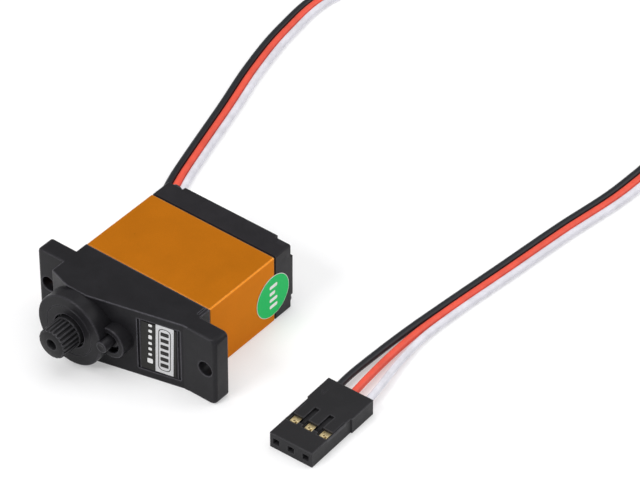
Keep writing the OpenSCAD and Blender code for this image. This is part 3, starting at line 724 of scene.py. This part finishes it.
def wire_points(side):
    """The points that one wire passes through: side is 1 for black, 0 red and -1 white."""
    rows = [Vector(row[:3]) * MM for row in ROUTE]
    points = []
    for i, row in enumerate(ROUTE):
        if i == 0:
            heading = Vector((-1, 0, 0))
        elif i == len(ROUTE) - 1:
            heading = PLUG_AXIS
        else:
            heading = (rows[i + 1] - rows[i]).normalized() + (rows[i] - rows[i - 1]).normalized()
        flat = Vector((-heading.y, heading.x, 0)).normalized()
        roll = math.radians(row[4])
        across = flat * math.cos(roll) + Vector((0, 0, math.sin(roll)))
        points.append(rows[i] + across * (side * row[3] * MM))
    return points


def smooth_line(points, steps):
    """Centripetal Catmull-Rom curve through the points."""
    first = points[0] * 2 - points[1]
    last = points[-1] * 2 - points[-2]
    run = [first, *points, last]
    line = []
    for p0, p1, p2, p3 in zip(run, run[1:], run[2:], run[3:]):
        t1 = (p1 - p0).length ** 0.5
        t2 = t1 + (p2 - p1).length ** 0.5
        t3 = t2 + (p3 - p2).length ** 0.5
        for k in range(steps):
            t = t1 + (t2 - t1) * k / steps
            a1 = p0 * ((t1 - t) / t1) + p1 * (t / t1)
            a2 = p1 * ((t2 - t) / (t2 - t1)) + p2 * ((t - t1) / (t2 - t1))
            a3 = p2 * ((t3 - t) / (t3 - t2)) + p3 * ((t - t2) / (t3 - t2))
            b1 = a1 * ((t2 - t) / t2) + a2 * (t / t2)
            b2 = a2 * ((t3 - t) / (t3 - t1)) + a3 * ((t - t1) / (t3 - t1))
            line.append(b1 * ((t2 - t) / (t2 - t1)) + b2 * ((t - t1) / (t2 - t1)))
    line.append(points[-1])
    return line


def tube(name, line, radius, sides=20):
    verts, faces = [], []
    for i, centre in enumerate(line):
        ahead = (line[min(i + 1, len(line) - 1)] - line[max(i - 1, 0)]).normalized()
        u = Vector((0, 0, 1)).cross(ahead).normalized()
        w = ahead.cross(u)
        for k in range(sides):
            a = 2 * math.pi * k / sides
            verts.append(centre + (u * math.cos(a) + w * math.sin(a)) * radius)
    for i in range(len(line) - 1):
        for k in range(sides):
            a, b = i * sides, (i + 1) * sides
            after = (k + 1) % sides
            faces.append((a + k, a + after, b + after, b + k))
    faces.append(tuple(range(sides)))
    faces.append(tuple(range((len(line) - 1) * sides, len(line) * sides)))
    return solid(name, verts, faces)


WIRE_LOOKS = (("black", 1, WIRE_BLACK), ("red", 0, WIRE_RED), ("white", -1, WIRE_WHITE))
for wire_name, side, look in WIRE_LOOKS:
    line = smooth_line(wire_points(side), 12)
    wire = tube("wire_" + wire_name, line, WIRE_D / 2 * MM)
    finished(wire, "wire_" + wire_name, "case", Matrix.Identity(4), look, ["lead_" + wire_name])

# ---- Case ----


def nose_outline(inset, base):
    x0 = -CASE_LEN / 2
    return [
        (x0 + inset, base),
        (x0 + inset, SHOULDER_H - inset * 0.9),
        (x0 + SHOULDER_END + inset * 0.2, FLAT_H - inset),
        (x0 + FLAT_START, FLAT_H - inset),
        (x0 + SLOPE_END, EAR_FRONT - inset),
        (-x0 - inset, EAR_FRONT - inset),
        (-x0 - inset, base),
    ]


def corner_axes():
    """Where the four case screws stand, as (x, v)."""
    return [
        (sx * (CASE_LEN / 2 - SCREW_IN), MID_V + sv * (MID_V - SCREW_IN))
        for sx in (-1, 1)
        for sv in (-1, 1)
    ]


def nose_edges(middle, direction):
    if abs(direction.z) > 0.9:
        return 1.0
    if middle.z < 0.01:
        return 0.25
    return 0.7


EAR_ROUND = 0.8


def ear_edges(middle, direction):
    """Wide fillets at the outer front edges, slight ones elsewhere."""
    if abs(direction.z) > 0.9:
        return 0
    end = min(1.0, max(0.0, (abs(middle.x) - (CASE_LEN / 2 + EAR_REACH - EAR_ROUND)) / EAR_ROUND))
    return 0.24 + (0.76 * end if middle.z > 3 else 0.1 * end)


def boss():
    """Round boss of the output shaft, with a fine ring engraved in its front face."""
    base, rim, half, depth = 3, 0.2, 0.08, 0.05
    points = [(0, base), (BOSS_R, base), (BOSS_R, BOSS_H - rim), *rim_points(BOSS_R, BOSS_H, rim, 8)]
    points += [(RING_R + half, BOSS_H), (RING_R + half - depth, BOSS_H - depth)]
    points += [(RING_R - half + depth, BOSS_H - depth), (RING_R - half, BOSS_H), (0, BOSS_H)]
    return lathe(points, OUT_X, MID_V, 144)


def bump():
    """Small boss beside the first, with a hollow in its front."""
    base, rim = 3, 0.15
    points = [(0, base), (BUMP_R, base), (BUMP_R, BUMP_H - rim), *rim_points(BUMP_R, BUMP_H, rim, 6)]
    mouth = [
        (0, HOLLOW_H), (HOLLOW_R - 0.15, HOLLOW_H), (HOLLOW_R - 0.03, HOLLOW_H + 0.1),
        (HOLLOW_R, BUMP_H - 0.12), (HOLLOW_R + 0.25, BUMP_H + 0.15), (0, BUMP_H + 0.15),
    ]
    made = lathe([*points, (0, BUMP_H)], BUMP_X, MID_V, 96)
    return carve(made, lathe(mouth, BUMP_X, MID_V, 72))


def post():
    """Round post that stands in the hollow on a low collar."""
    base, collar_r, collar_h = 7, 1.25, HOLLOW_H + 0.5
    points = [
        (0, base), (collar_r, base), (collar_r, collar_h), (collar_r - 0.05, HOLLOW_H + 0.55),
        (POST_R, HOLLOW_H + 0.6), (POST_R, POST_H - 0.1), (POST_R - 0.03, POST_H - 0.03),
        (POST_R - 0.1, POST_H), (0.45, POST_H), (0.38, POST_H - 0.04), (0, POST_H - 0.04),
    ]
    return lathe(points, POST_X, POST_V, 64)


def top_case():
    wall, screw_post_r, pin_support_r, boss_room_r = 0.75, 1.15, 1.2, 5.4
    bearing_r, opening_r, thread_r = 4.0, 2.75, 0.7
    outline = filleted(nose_outline(0, 0), [0, 0.35, 0.8, 0.8, 0.3, 0, 0])
    case = extrude(outline, 0, CASE_W, profile)
    bevel(case, 0.28, nose_edges, segments=4)
    flange = rounded(CASE_LEN + 2 * EAR_REACH, CASE_W, EAR_ROUND, (0, MID_V))
    ears = extrude(flange, EAR_BACK, EAR_FRONT)
    bevel(ears, 0.62, ear_edges, segments=5)
    weld(case, ears, bump(), boss(), post())

    room = extrude(nose_outline(wall, -1), wall, CASE_W - wall, profile)
    carve(room, *[rod(x, v, -2, 10, screw_post_r, segments=48) for x, v in corner_axes()])
    carve(
        room,
        rod(OUT_X, MID_V, 6.85, 9, boss_room_r),
        rod(PIN_X, MID_V, 5.65, 7, pin_support_r, segments=48),
    )

    carve(case, room)
    carve(
        case,
        rod(OUT_X, MID_V, 6, 9.5, bearing_r),
        rod(OUT_X, MID_V, 9, BOSS_H, opening_r, 0.06),
        rod(PIN_X, MID_V, 4, 7.6, PIN_HOLE_R, segments=48),
    )
    carve(case, *[rod(x, v, -1, 4.0, thread_r, segments=48) for x, v in corner_axes()])
    for s in (-1, 1):
        x = s * (CASE_LEN / 2 + EAR_HOLE_OUT)
        carve(case, rod(x, MID_V, EAR_BACK, EAR_FRONT, EAR_HOLE_R, 0.05, 64))
    groove = box((CASE_LEN / 2 - 0.8, CASE_W - 0.12, 0.2), (CASE_LEN / 2 - 0.6, CASE_W + 1, 1.7))
    carve(case, groove, *panel_cutters())
    return finished(clean(case), "top_case_shell", "case", LAY, BLACK, ["top_case"])


def panel_cutters():
    """The label panel's shallow recess and the groove at each of its ends."""
    width, recess_depth, groove_depth = CASE_W - 2.6, 0.12, 0.26
    cutters = [extrude(rounded(6.62, width, 0.3, (3.33, MID_V), 5), -recess_depth, 1)]
    for x, wide in ((0.14, 0.3), (6.48, 0.4)):
        cutters.append(extrude(rounded(wide, width, 0.1, (x, MID_V), 3), -groove_depth, 1))
    for cutter in cutters:
        cutter.data.transform(PANEL)
    return cutters


def end_groove(low, high, depth):
    """Cutter for a groove that runs all round the case, from low to high along the shaft."""
    ring = box((-CASE_LEN, -1, low), (CASE_LEN, CASE_W + 1, high))
    x = CASE_LEN / 2 - depth
    kept = [(-x, depth), (x, depth), (x, CASE_W - depth), (-x, CASE_W - depth)]
    return carve(ring, extrude(filleted(kept, 0.3, 5), low - 1, high + 1))


END_WALL = 1.0
SIDE_WALL = 0.9
SLEEVE_POST = 2.5
COVER_POST = 2.7


def post_outline(corner):
    """A rectangle inside the case with a square post left standing in each corner."""
    x, low, high = CASE_LEN / 2 - END_WALL, SIDE_WALL, CASE_W - SIDE_WALL
    px, pv = CASE_LEN / 2 - corner, corner
    return [
        (-px, low), (px, low), (px, pv), (x, pv), (x, CASE_W - pv), (px, CASE_W - pv),
        (px, high), (-px, high), (-px, CASE_W - pv), (-x, CASE_W - pv), (-x, pv), (-px, pv),
    ]


def sleeve_edges(middle, direction):
    return 1.0 if abs(direction.z) > 0.9 else 0.0


def middle_case():
    """Sleeve with a web across it, which carries the gears on one side and the motor on the other."""
    web_back, web_front, pot_hole_r, motor_hole_r = -1.5, -0.3, 1.55, 1.6
    sleeve = box((-CASE_LEN / 2, 0, -MIDDLE_H), (CASE_LEN / 2, CASE_W, 0))
    bevel(sleeve, 0.17, sleeve_edges, segments=1)
    carve(
        sleeve,
        end_groove(-MIDDLE_H - 0.1, -MIDDLE_H + 0.15, 0.13),
        end_groove(-0.1, 0.1, 0.1),
    )
    bevel(sleeve, 0.05, segments=1, angle=60)
    carve(
        sleeve,
        extrude(post_outline(SLEEVE_POST), -MIDDLE_H - 1, web_back),
        extrude(post_outline(SLEEVE_POST), web_front, 1),
        rod(OUT_X, MID_V, -3, 1, pot_hole_r, segments=48),
        rod(MOTOR_X, MID_V, -3, 1, motor_hole_r, segments=48),
        rod(PIN_X, MID_V, -3, 1, PIN_HOLE_R, segments=32),
        *[rod(x, v, -MIDDLE_H, 0, SCREW_HOLE_R, 0.1, 32) for x, v in corner_axes()],
    )
    return finished(clean(sleeve), "aluminium_sleeve", "case", LAY, ORANGE, ["middle_case"])


def cover_edges(middle, direction):
    if abs(direction.z) > 0.9:
        return 1.0
    return 0.9 if middle.z < -16 else 0.25


def pocket(sx, sv):
    """Cutter for the pocket at one corner of the cover's back."""
    near_x, far_x = sx * (CASE_LEN / 2 - POCKET_LEN), sx * (CASE_LEN / 2 + 1)
    near_v, far_v = MID_V + sv * (MID_V - POCKET_W), MID_V + sv * (MID_V + 1)
    outline = [(near_x, far_v), (near_x, near_v), (far_x, near_v), (far_x, far_v)]
    return extrude(filleted(outline, [0, 0.5, 0, 0], 6), COVER_BACK - 1, POCKET_FLOOR)


def rear_cover():
    head_room_r, past = 1.3, -MIDDLE_H + 1
    cover = box((-CASE_LEN / 2, 0, COVER_BACK), (CASE_LEN / 2, CASE_W, -MIDDLE_H))
    bevel(cover, 0.3, cover_edges, segments=4)
    carve(cover, *[pocket(sx, sv) for sx in (-1, 1) for sv in (-1, 1)])
    bevel(cover, 0.07, segments=2, angle=60)
    sunk = [(x, v) for x, v in corner_axes() if (x > 0) == (v > MID_V)]
    lead_exit = rounded(2.5, 3.8, 0.3, (-CASE_LEN / 2 + 0.25, EXIT_V), 5)
    carve(
        cover,
        end_groove(-MIDDLE_H - 0.2, past, 0.16),
        extrude(post_outline(COVER_POST), COVER_BACK + 1, past),
        *[rod(x, v, COVER_BACK - 1, SUNK_FLOOR, head_room_r) for x, v in sunk],
        *[rod(x, v, COVER_BACK - 1, past, SCREW_HOLE_R, segments=32) for x, v in corner_axes()],
        extrude(lead_exit, EXIT_H - 0.75, past),
    )
    return finished(clean(cover), "rear_cover_shell", "case", LAY, COVER_BLACK, ["rear_cover"])


def screw(x, v, seat, turn):
    """Round-headed screw with a cross recess, its head towards the back of the servo."""
    head, head_r, shank_r, tip = seat - 0.8, 1.1, 0.67, 3.6
    points = [(0, head), (0.55, head), (0.9, head + 0.08), (1.05, head + 0.22), (head_r, head + 0.4)]
    points += [(head_r, seat), (shank_r, seat), (shank_r, tip - 0.8), (0.15, tip), (0, tip)]
    made = lathe(points, 0, 0, 48)
    for angle in (0, 90):
        slot = box((-0.62, -0.14, head - 1), (0.62, 0.14, head + 0.42))
        slot.data.transform(turned(angle))
        carve(made, slot)
    made.data.transform(Matrix.Translation((x, v, 0)) @ turned(turn))
    return made


def case_screws():
    made = []
    for index, (x, v) in enumerate(corner_axes()):
        sunk = (x > 0) == (v > MID_V)
        made.append(screw(x, v, SUNK_FLOOR if sunk else POCKET_FLOOR, 20 + 37 * index))
    screws = joined("case_screw_set", made)
    return finished(screws, "case_screw_set", "case", LAY, DARK_STEEL, ["case_screws"])


# ---- Label and sticker ----


def patch(outline, low, high, material):
    made = extrude(outline, low, high)
    made.data.materials.append(material)
    return made


def frame_outline(length, width, radius, thick, middle):
    """A rounded frame: an outer outline, with a smaller one cut out of it."""
    outer = rounded(length, width, radius, middle, 6)
    inner = rounded(length - 2 * thick, width - 2 * thick, radius - thick * 0.6, middle, 6)
    return carve(extrude(outer, 0, 1), extrude(inner, -1, 2))


LABEL_TURN = -1.6


def name_label():
    """Black film with a silver block. Plain bars stand where the lettering was."""
    base, face = -0.11, -0.02
    ink, over_ink = face + 0.008, face + 0.014
    block = (4.2, MID_V + 0.15)
    parts = [
        patch(rounded(5.5, CASE_W - 3.2, 0.15, (3.3, MID_V)), base, face, LABEL_BLACK),
        patch(rounded(2.8, 8.8, 0.08, block), face, ink, LABEL_SILVER),
    ]
    border = frame_outline(1.95, 7.8, 0.7, 0.12, block)
    border.data.transform(Matrix.Translation((0, 0, ink)) @ Matrix.Diagonal((1, 1, 0.006, 1)))
    border.data.materials.append(LABEL_BLACK)
    parts.append(border)
    for k in range(6):
        bar = rounded(1.28, 0.7, 0.14, (block[0], block[1] + (k - 2.5) * 1.16), 4)
        parts.append(patch(bar, ink, over_ink, LABEL_BLACK))
    gap, width, first_width = 0.55, 0.55, 0.85
    v = MID_V - 3.1
    for k, size in enumerate((0.85, 0.45, 0.5, 0.5, 0.7, 0.5, 0.45)):
        bar = rounded(width if k else first_width, size, 0.14, (1.95, v + size / 2), 4)
        parts.append(patch(bar, face, ink, LABEL_WHITE))
        v += size + gap
    label = joined("name_label_film", parts)
    middle = Matrix.Translation((3.4, MID_V, 0))
    label.data.transform(PANEL @ middle @ turned(LABEL_TURN) @ middle.inverted())
    return finished(label, "name_label_film", "case", LAY, None, ["name_label"])


STICKER_R = 3.6
STICKER_V = 5.0
STICKER_H = -13.85


def round_sticker():
    """White-rimmed green disc. Plain bars stand where the lettering was."""
    face, ink, over_ink, rim = 0.072, 0.078, 0.084, 0.07
    points = [(0, 0), (STICKER_R, 0), (STICKER_R, 0.06), (STICKER_R - 0.03, face), (0, face)]
    disc = lathe(points, 0, 0, 128)
    disc.data.materials.append(STICKER_WHITE)
    green_r, under = STICKER_R - rim, face - 0.002
    green = lathe([(0, under), (green_r, under), (green_r, ink), (0, ink)], 0, 0, 128)
    green.data.materials.append(STICKER_GREEN)
    parts = [disc, green]
    for k, high in enumerate((1.7, 1.2, 1.7, 1.7)):
        bar = rounded(0.6, high, 0.2, ((k - 1.5) * 1.2, (high - 1.5) / 2), 4)
        parts.append(patch(bar, ink, over_ink, STICKER_WHITE))
    sticker = joined("round_sticker_film", parts)
    place = Matrix.Translation((CASE_LEN / 2 + 0.005, STICKER_V, STICKER_H))
    sticker.data.transform(place @ turned(90, "Y") @ turned(-90))
    return finished(sticker, "round_sticker_film", "case", LAY, None, ["round_sticker"])


# ---- Output shaft ----

PRESSURE_ANGLE = math.radians(25)


def involute(angle):
    return math.tan(angle) - angle


def gear_outline(module, teeth, shift, first=0.0, backlash=0.05, steps=4):
    """The same tooth form as the CAD model's gears."""
    pitch = module * teeth / 2
    base = pitch * math.cos(PRESSURE_ANGLE)
    root = pitch - module * (1.2 - shift)
    tip = pitch + module * (0.9 + shift)
    low = max(base, root)

    def half(r):
        at = math.acos(base / r) if r > base else 0
        thick = (math.pi / 2 + 2 * shift * math.tan(PRESSURE_ANGLE)) / teeth - backlash / 2 / pitch
        return thick + involute(PRESSURE_ANGLE) - involute(at)

    radii = [low + (tip - low) * k / steps for k in range(steps + 1)]
    points = []
    for tooth in range(teeth):
        centre = math.radians(first) + 2 * math.pi * tooth / teeth
        flank = [(r, -half(r)) for r in radii] + [(r, half(r)) for r in reversed(radii)]
        if root < low:
            flank = [(root, -half(low))] + flank + [(root, half(low))]
        points += [(r * math.cos(centre + a), r * math.sin(centre + a)) for r, a in flank]
    return points


def spline_outline():
    """Flat-topped teeth, each with eased edges, over a shallow rounded root."""
    pitch = 2 * math.pi / SPLINE_TEETH
    side = [(SPLINE_ROOT_R, 0.38), (SPLINE_R - 0.05, 0.185), (SPLINE_R, 0.12)]
    tooth_form = [(r, -share) for r, share in side] + [(r, share) for r, share in reversed(side)]
    tooth_form.append((SPLINE_ROOT_R - 0.015, 0.5))
    points = []
    for tooth in range(SPLINE_TEETH):
        for r, share in tooth_form:
            a = (tooth + share) * pitch
            points.append((r * math.cos(a), r * math.sin(a)))
    return points


WHEEL_MODULE = 0.325
WHEEL_TEETH = 29
HUB_R = 3.0
HUB_H = 7.0
JOURNAL_R = 2.48
SHAFT_HOLE_R = 0.75


def output_shaft():
    """Output gear, journal and spline in one piece, with a threaded hole in the tip."""
    spline = extrude(spline_outline(), SPLINE_BASE - 0.3, SPLINE_TIP + 0.1)
    envelope = [
        (0, SPLINE_BASE - 1), (2.6, SPLINE_BASE - 1), (2.42, SPLINE_TIP - 0.5),
        (2.36, SPLINE_TIP - 0.2), (2.28, SPLINE_TIP - 0.08), (2.15, SPLINE_TIP), (0, SPLINE_TIP),
    ]
    combine(spline, [lathe(envelope)], "INTERSECT")
    wheel = extrude(gear_outline(WHEEL_MODULE, WHEEL_TEETH, -0.2, 180 / WHEEL_TEETH), 4.2, 6.5)
    points = [(0, 6.4), (HUB_R, 6.4), (HUB_R, HUB_H - 0.05), (HUB_R - 0.05, HUB_H), (JOURNAL_R, HUB_H)]
    points += [(JOURNAL_R, SPLINE_BASE - 0.1), (JOURNAL_R - 0.06, SPLINE_BASE), (0, SPLINE_BASE)]
    core = lathe(points)
    weld(core, wheel, spline)
    hole_floor, thread_start, thread_pitch = 9.2, 9.3, 0.5
    hole = [(0, hole_floor), (SHAFT_HOLE_R, hole_floor)]
    for k in range(9):
        crest = thread_start + (k + 0.5) * thread_pitch
        hole += [(SHAFT_HOLE_R, thread_start + k * thread_pitch), (SHAFT_HOLE_R - 0.05, crest)]
    hole += [(SHAFT_HOLE_R, SPLINE_TIP - 0.25), (0.95, SPLINE_TIP + 0.05), (0, SPLINE_TIP + 0.05)]
    socket = rod(0, 0, 4, 6.6, 0.92, segments=48)
    carve(socket, box((0.47, -2, 3), (3, 2, 8)))
    carve(core, lathe(hole, 0, 0, 64), socket)
    core.data.transform(Matrix.Translation((OUT_X, MID_V, 0)))
    return finished(clean(core), "output_shaft_spline", "output", LAY, SHAFT_BLACK, ["output_shaft"])


# ---- Grommet and plug ----


def grommet():
    """Rubber block round the wires, held by a flange inside the cover's end wall."""
    x0, low, high, reach = -CASE_LEN / 2, EXIT_H - 0.73, -MIDDLE_H - 0.02, 2.1
    block = extrude(rounded(2.0, 3.76, 0.3, (x0 + 0.5, EXIT_V), 5), low, high)
    bevel(block, 0.12, segments=3, angle=50)
    weld(block, box((x0 + 1.02, EXIT_V - reach, low), (x0 + 1.82, EXIT_V + reach, high)))
    return finished(clean(block), "lead_grommet_block", "case", LAY, RUBBER, ["lead_grommet"])


LATCH_W = 1.72
LATCH_T = 0.45
LATCH_BACK = 7.85
LATCH_FRONT = 5.15
WINDOW_FRONT = 3.55
MOUTH_W = 0.84


def plug_edges(middle, direction):
    """The front corners are eased more than the others."""
    if abs(direction.z) > 0.9:
        return 1.0
    return 0.5 if middle.y < 0.01 else 0.3


def connector_housing():
    """Housing with three sockets, a latch tongue over each contact and a narrower front half."""
    front, back, step = 7.3 / 2, 7.8 / 2, 8.9
    outline = [(-front, 0), (front, 0), (front, step), (back, step), (back, PLUG_LEN)]
    outline += [(-back, PLUG_LEN), (-back, step), (-front, step)]
    body = extrude(outline, 0, PLUG_T)
    bevel(body, 0.2, plug_edges, segments=4)
    top, room = PLUG_T - LATCH_T, 1.6
    for i in (-1, 0, 1):
        x = i * PIN_PITCH
        cutters = [
            box((x - room / 2, 0.8, 0.35), (x + room / 2, PLUG_LEN - 2, top)),
            box(
                (x - LATCH_W / 2, WINDOW_FRONT, top - 0.5),
                (x + LATCH_W / 2, LATCH_FRONT, PLUG_T + 1),
            ),
        ]
        half = MOUTH_W / 2
        mouth = box((x - half, -0.1, PLUG_T / 2 - half), (x + half, 2, PLUG_T / 2 + half))
        cutters.append(mouth)
        wide = half + 0.14
        funnel = solid(
            "funnel",
            [(x + sx * w, y, PLUG_T / 2 + sz * w) for y, w in ((-0.02, wide), (0.24, half))
             for sx, sz in ((-1, -1), (1, -1), (1, 1), (-1, 1))],
            [(0, 1, 2, 3), (4, 5, 6, 7), (0, 1, 5, 4), (1, 2, 6, 5), (2, 3, 7, 6), (3, 0, 4, 7)],
        )
        cutters.append(funnel)
        entry = lathe([(0, -3.2), (0.64, -3.2), (0.64, -0.12), (0.76, 0.02), (0, 0.02)], 0, 0, 40)
        entry.data.transform(Matrix.Translation((x, PLUG_LEN, PLUG_T / 2)) @ turned(-90, "X"))
        cutters.append(entry)
        carve(body, *cutters)
    half_gap = (PIN_PITCH - LATCH_W) / 2
    slit_start = PIN_PITCH + LATCH_W / 2
    slit_end = slit_start + 0.12
    floor, above = top - 0.02, PLUG_T + 1
    for s in (-1, 1):
        x = s * PIN_PITCH / 2
        carve(body, box((x - half_gap, WINDOW_FRONT + 0.5, floor), (x + half_gap, LATCH_BACK, above)))
    for low, high in ((-slit_end, -slit_start), (slit_start, slit_end)):
        carve(body, box((low, WINDOW_FRONT, floor), (high, LATCH_BACK, above)))
    for a, b in (((-3.2, 11.4), (-2.45, 10.6)), ((-2.45, 10.6), (-2.6, 11.9))):
        start, end = Vector(a), Vector(b)
        side = (end - start).orthogonal().normalized() * 0.07
        stroke = [start + side, end + side, end - side, start - side]
        carve(body, extrude([tuple(p) for p in stroke], PLUG_T - 0.04, PLUG_T + 1))
    return finished(clean(body), "plug_housing", "case", AT_PLUG, PLUG_BLACK, ["connector_housing"])


def connector_contacts():
    """Folded box contacts with a locking plate in the window and a crimped barrel."""
    parts = []
    for i in (-1, 0, 1):
        x = i * PIN_PITCH
        shell = box((x - 0.7, 1.0, 0.5), (x + 0.7, 5.3, 1.96))
        bevel(shell, 0.09, segments=3)
        half = 0.4
        carve(shell, box((x - half, 0.5, PLUG_T / 2 - half), (x + half, 4.9, PLUG_T / 2 + half)))
        front, notch, back, side = 4.06, 4.42, 5.28, 0.74
        plate = [(x - side, front), (x + 0.08, front), (x + 0.12, notch), (x + 0.36, notch)]
        plate += [(x + 0.4, front), (x + side, front), (x + side, back), (x - side, back)]
        tab = extrude(filleted(plate, 0.05, 3), 1.9, 2.1)
        bevel(tab, 0.06, segments=3)
        tongue = extrude(rounded(1.0, 0.8, 0.12, (x - 0.05, 5.0), 4), 2.0, 2.5)
        neck = box((x - 0.5, 5.2, 0.5), (x + 0.5, 6.7, 1.1))
        wing, waist, end = 0.62, 0.5, 4.2
        points = [(0, 0), (wing, 0), (wing, 1.3), (waist, 1.5), (waist, 2.2), (wing, 2.4)]
        barrel = lathe([*points, (wing, end), (0, end)], 0, 0, 32)
        barrel.data.transform(Matrix.Translation((x, 6.5, PLUG_T / 2)) @ turned(-90, "X"))
        weld(shell, tab, neck, barrel)
        carve(
            shell,
            tongue,
            rod(x - 0.14, 4.4, 1.5, 2.3, 0.16, segments=24),
            box((x + 0.12, 3.0, 1.5), (x + 0.36, 4.4, 2.3)),
        )
        parts.append(shell)
    contacts = joined("plug_contacts", parts)
    return finished(clean(contacts), "plug_contacts", "case", AT_PLUG, GOLD, ["connector_contacts"])


top_case()
middle_case()
rear_cover()
case_screws()
name_label()
round_sticker()
output_shaft()
lead_grommet = grommet()
housing = connector_housing()
contacts = connector_contacts()

# ---- Floor and light ----

LIGHT_AIM = Vector((0, 0.02, 0))
WORLD_GLOW = 0.36
FLOOR_GLOW = 0.36


def add_floor():
    size = 1.5
    corners = [(-size, -size, 0), (size, -size, 0), (size, size, 0), (-size, size, 0)]
    floor = solid("floor", corners, [(0, 1, 2, 3)])
    floor.location.z = -0.00003
    look = Look("floor_white", (0.66, 0.66, 0.665), 0.75, Specular_IOR_Level=0.2)
    look.set("Emission Color", (1, 1, 1, 1))
    look.set("Emission Strength", FLOOR_GLOW)
    look.use("Roughness", look.spread(look.noise(60), 0.3, 0.7, 0.7, 0.8))
    floor.data.materials.append(look.material)


def add_light(name, place, size, power):
    data = bpy.data.lights.new(name, "AREA")
    data.shape = "RECTANGLE"
    data.size, data.size_y = size
    data.energy = power
    light = bpy.data.objects.new(name, data)
    light.location = place
    light.rotation_euler = (LIGHT_AIM - Vector(place)).to_track_quat("-Z", "Y").to_euler()
    bpy.context.scene.collection.objects.link(light)


def add_world(strength):
    world = bpy.data.worlds.new("studio")
    world.use_nodes = True
    background = world.node_tree.nodes["Background"]
    background.inputs["Color"].default_value = (1, 1, 1, 1)
    background.inputs["Strength"].default_value = strength
    bpy.context.scene.world = world


add_floor()
add_world(WORLD_GLOW)
add_light("back_right", (0.48, 0.56, 0.45), (0.5, 0.5), 1.7)
add_light("front_top", (-0.12, -0.55, 0.55), (0.26, 0.22), 2.4)
add_light("overhead", (-0.05, 0.05, 0.85), (0.8, 0.8), 3.7)
bpy.context.scene.view_settings.view_transform = "Standard"
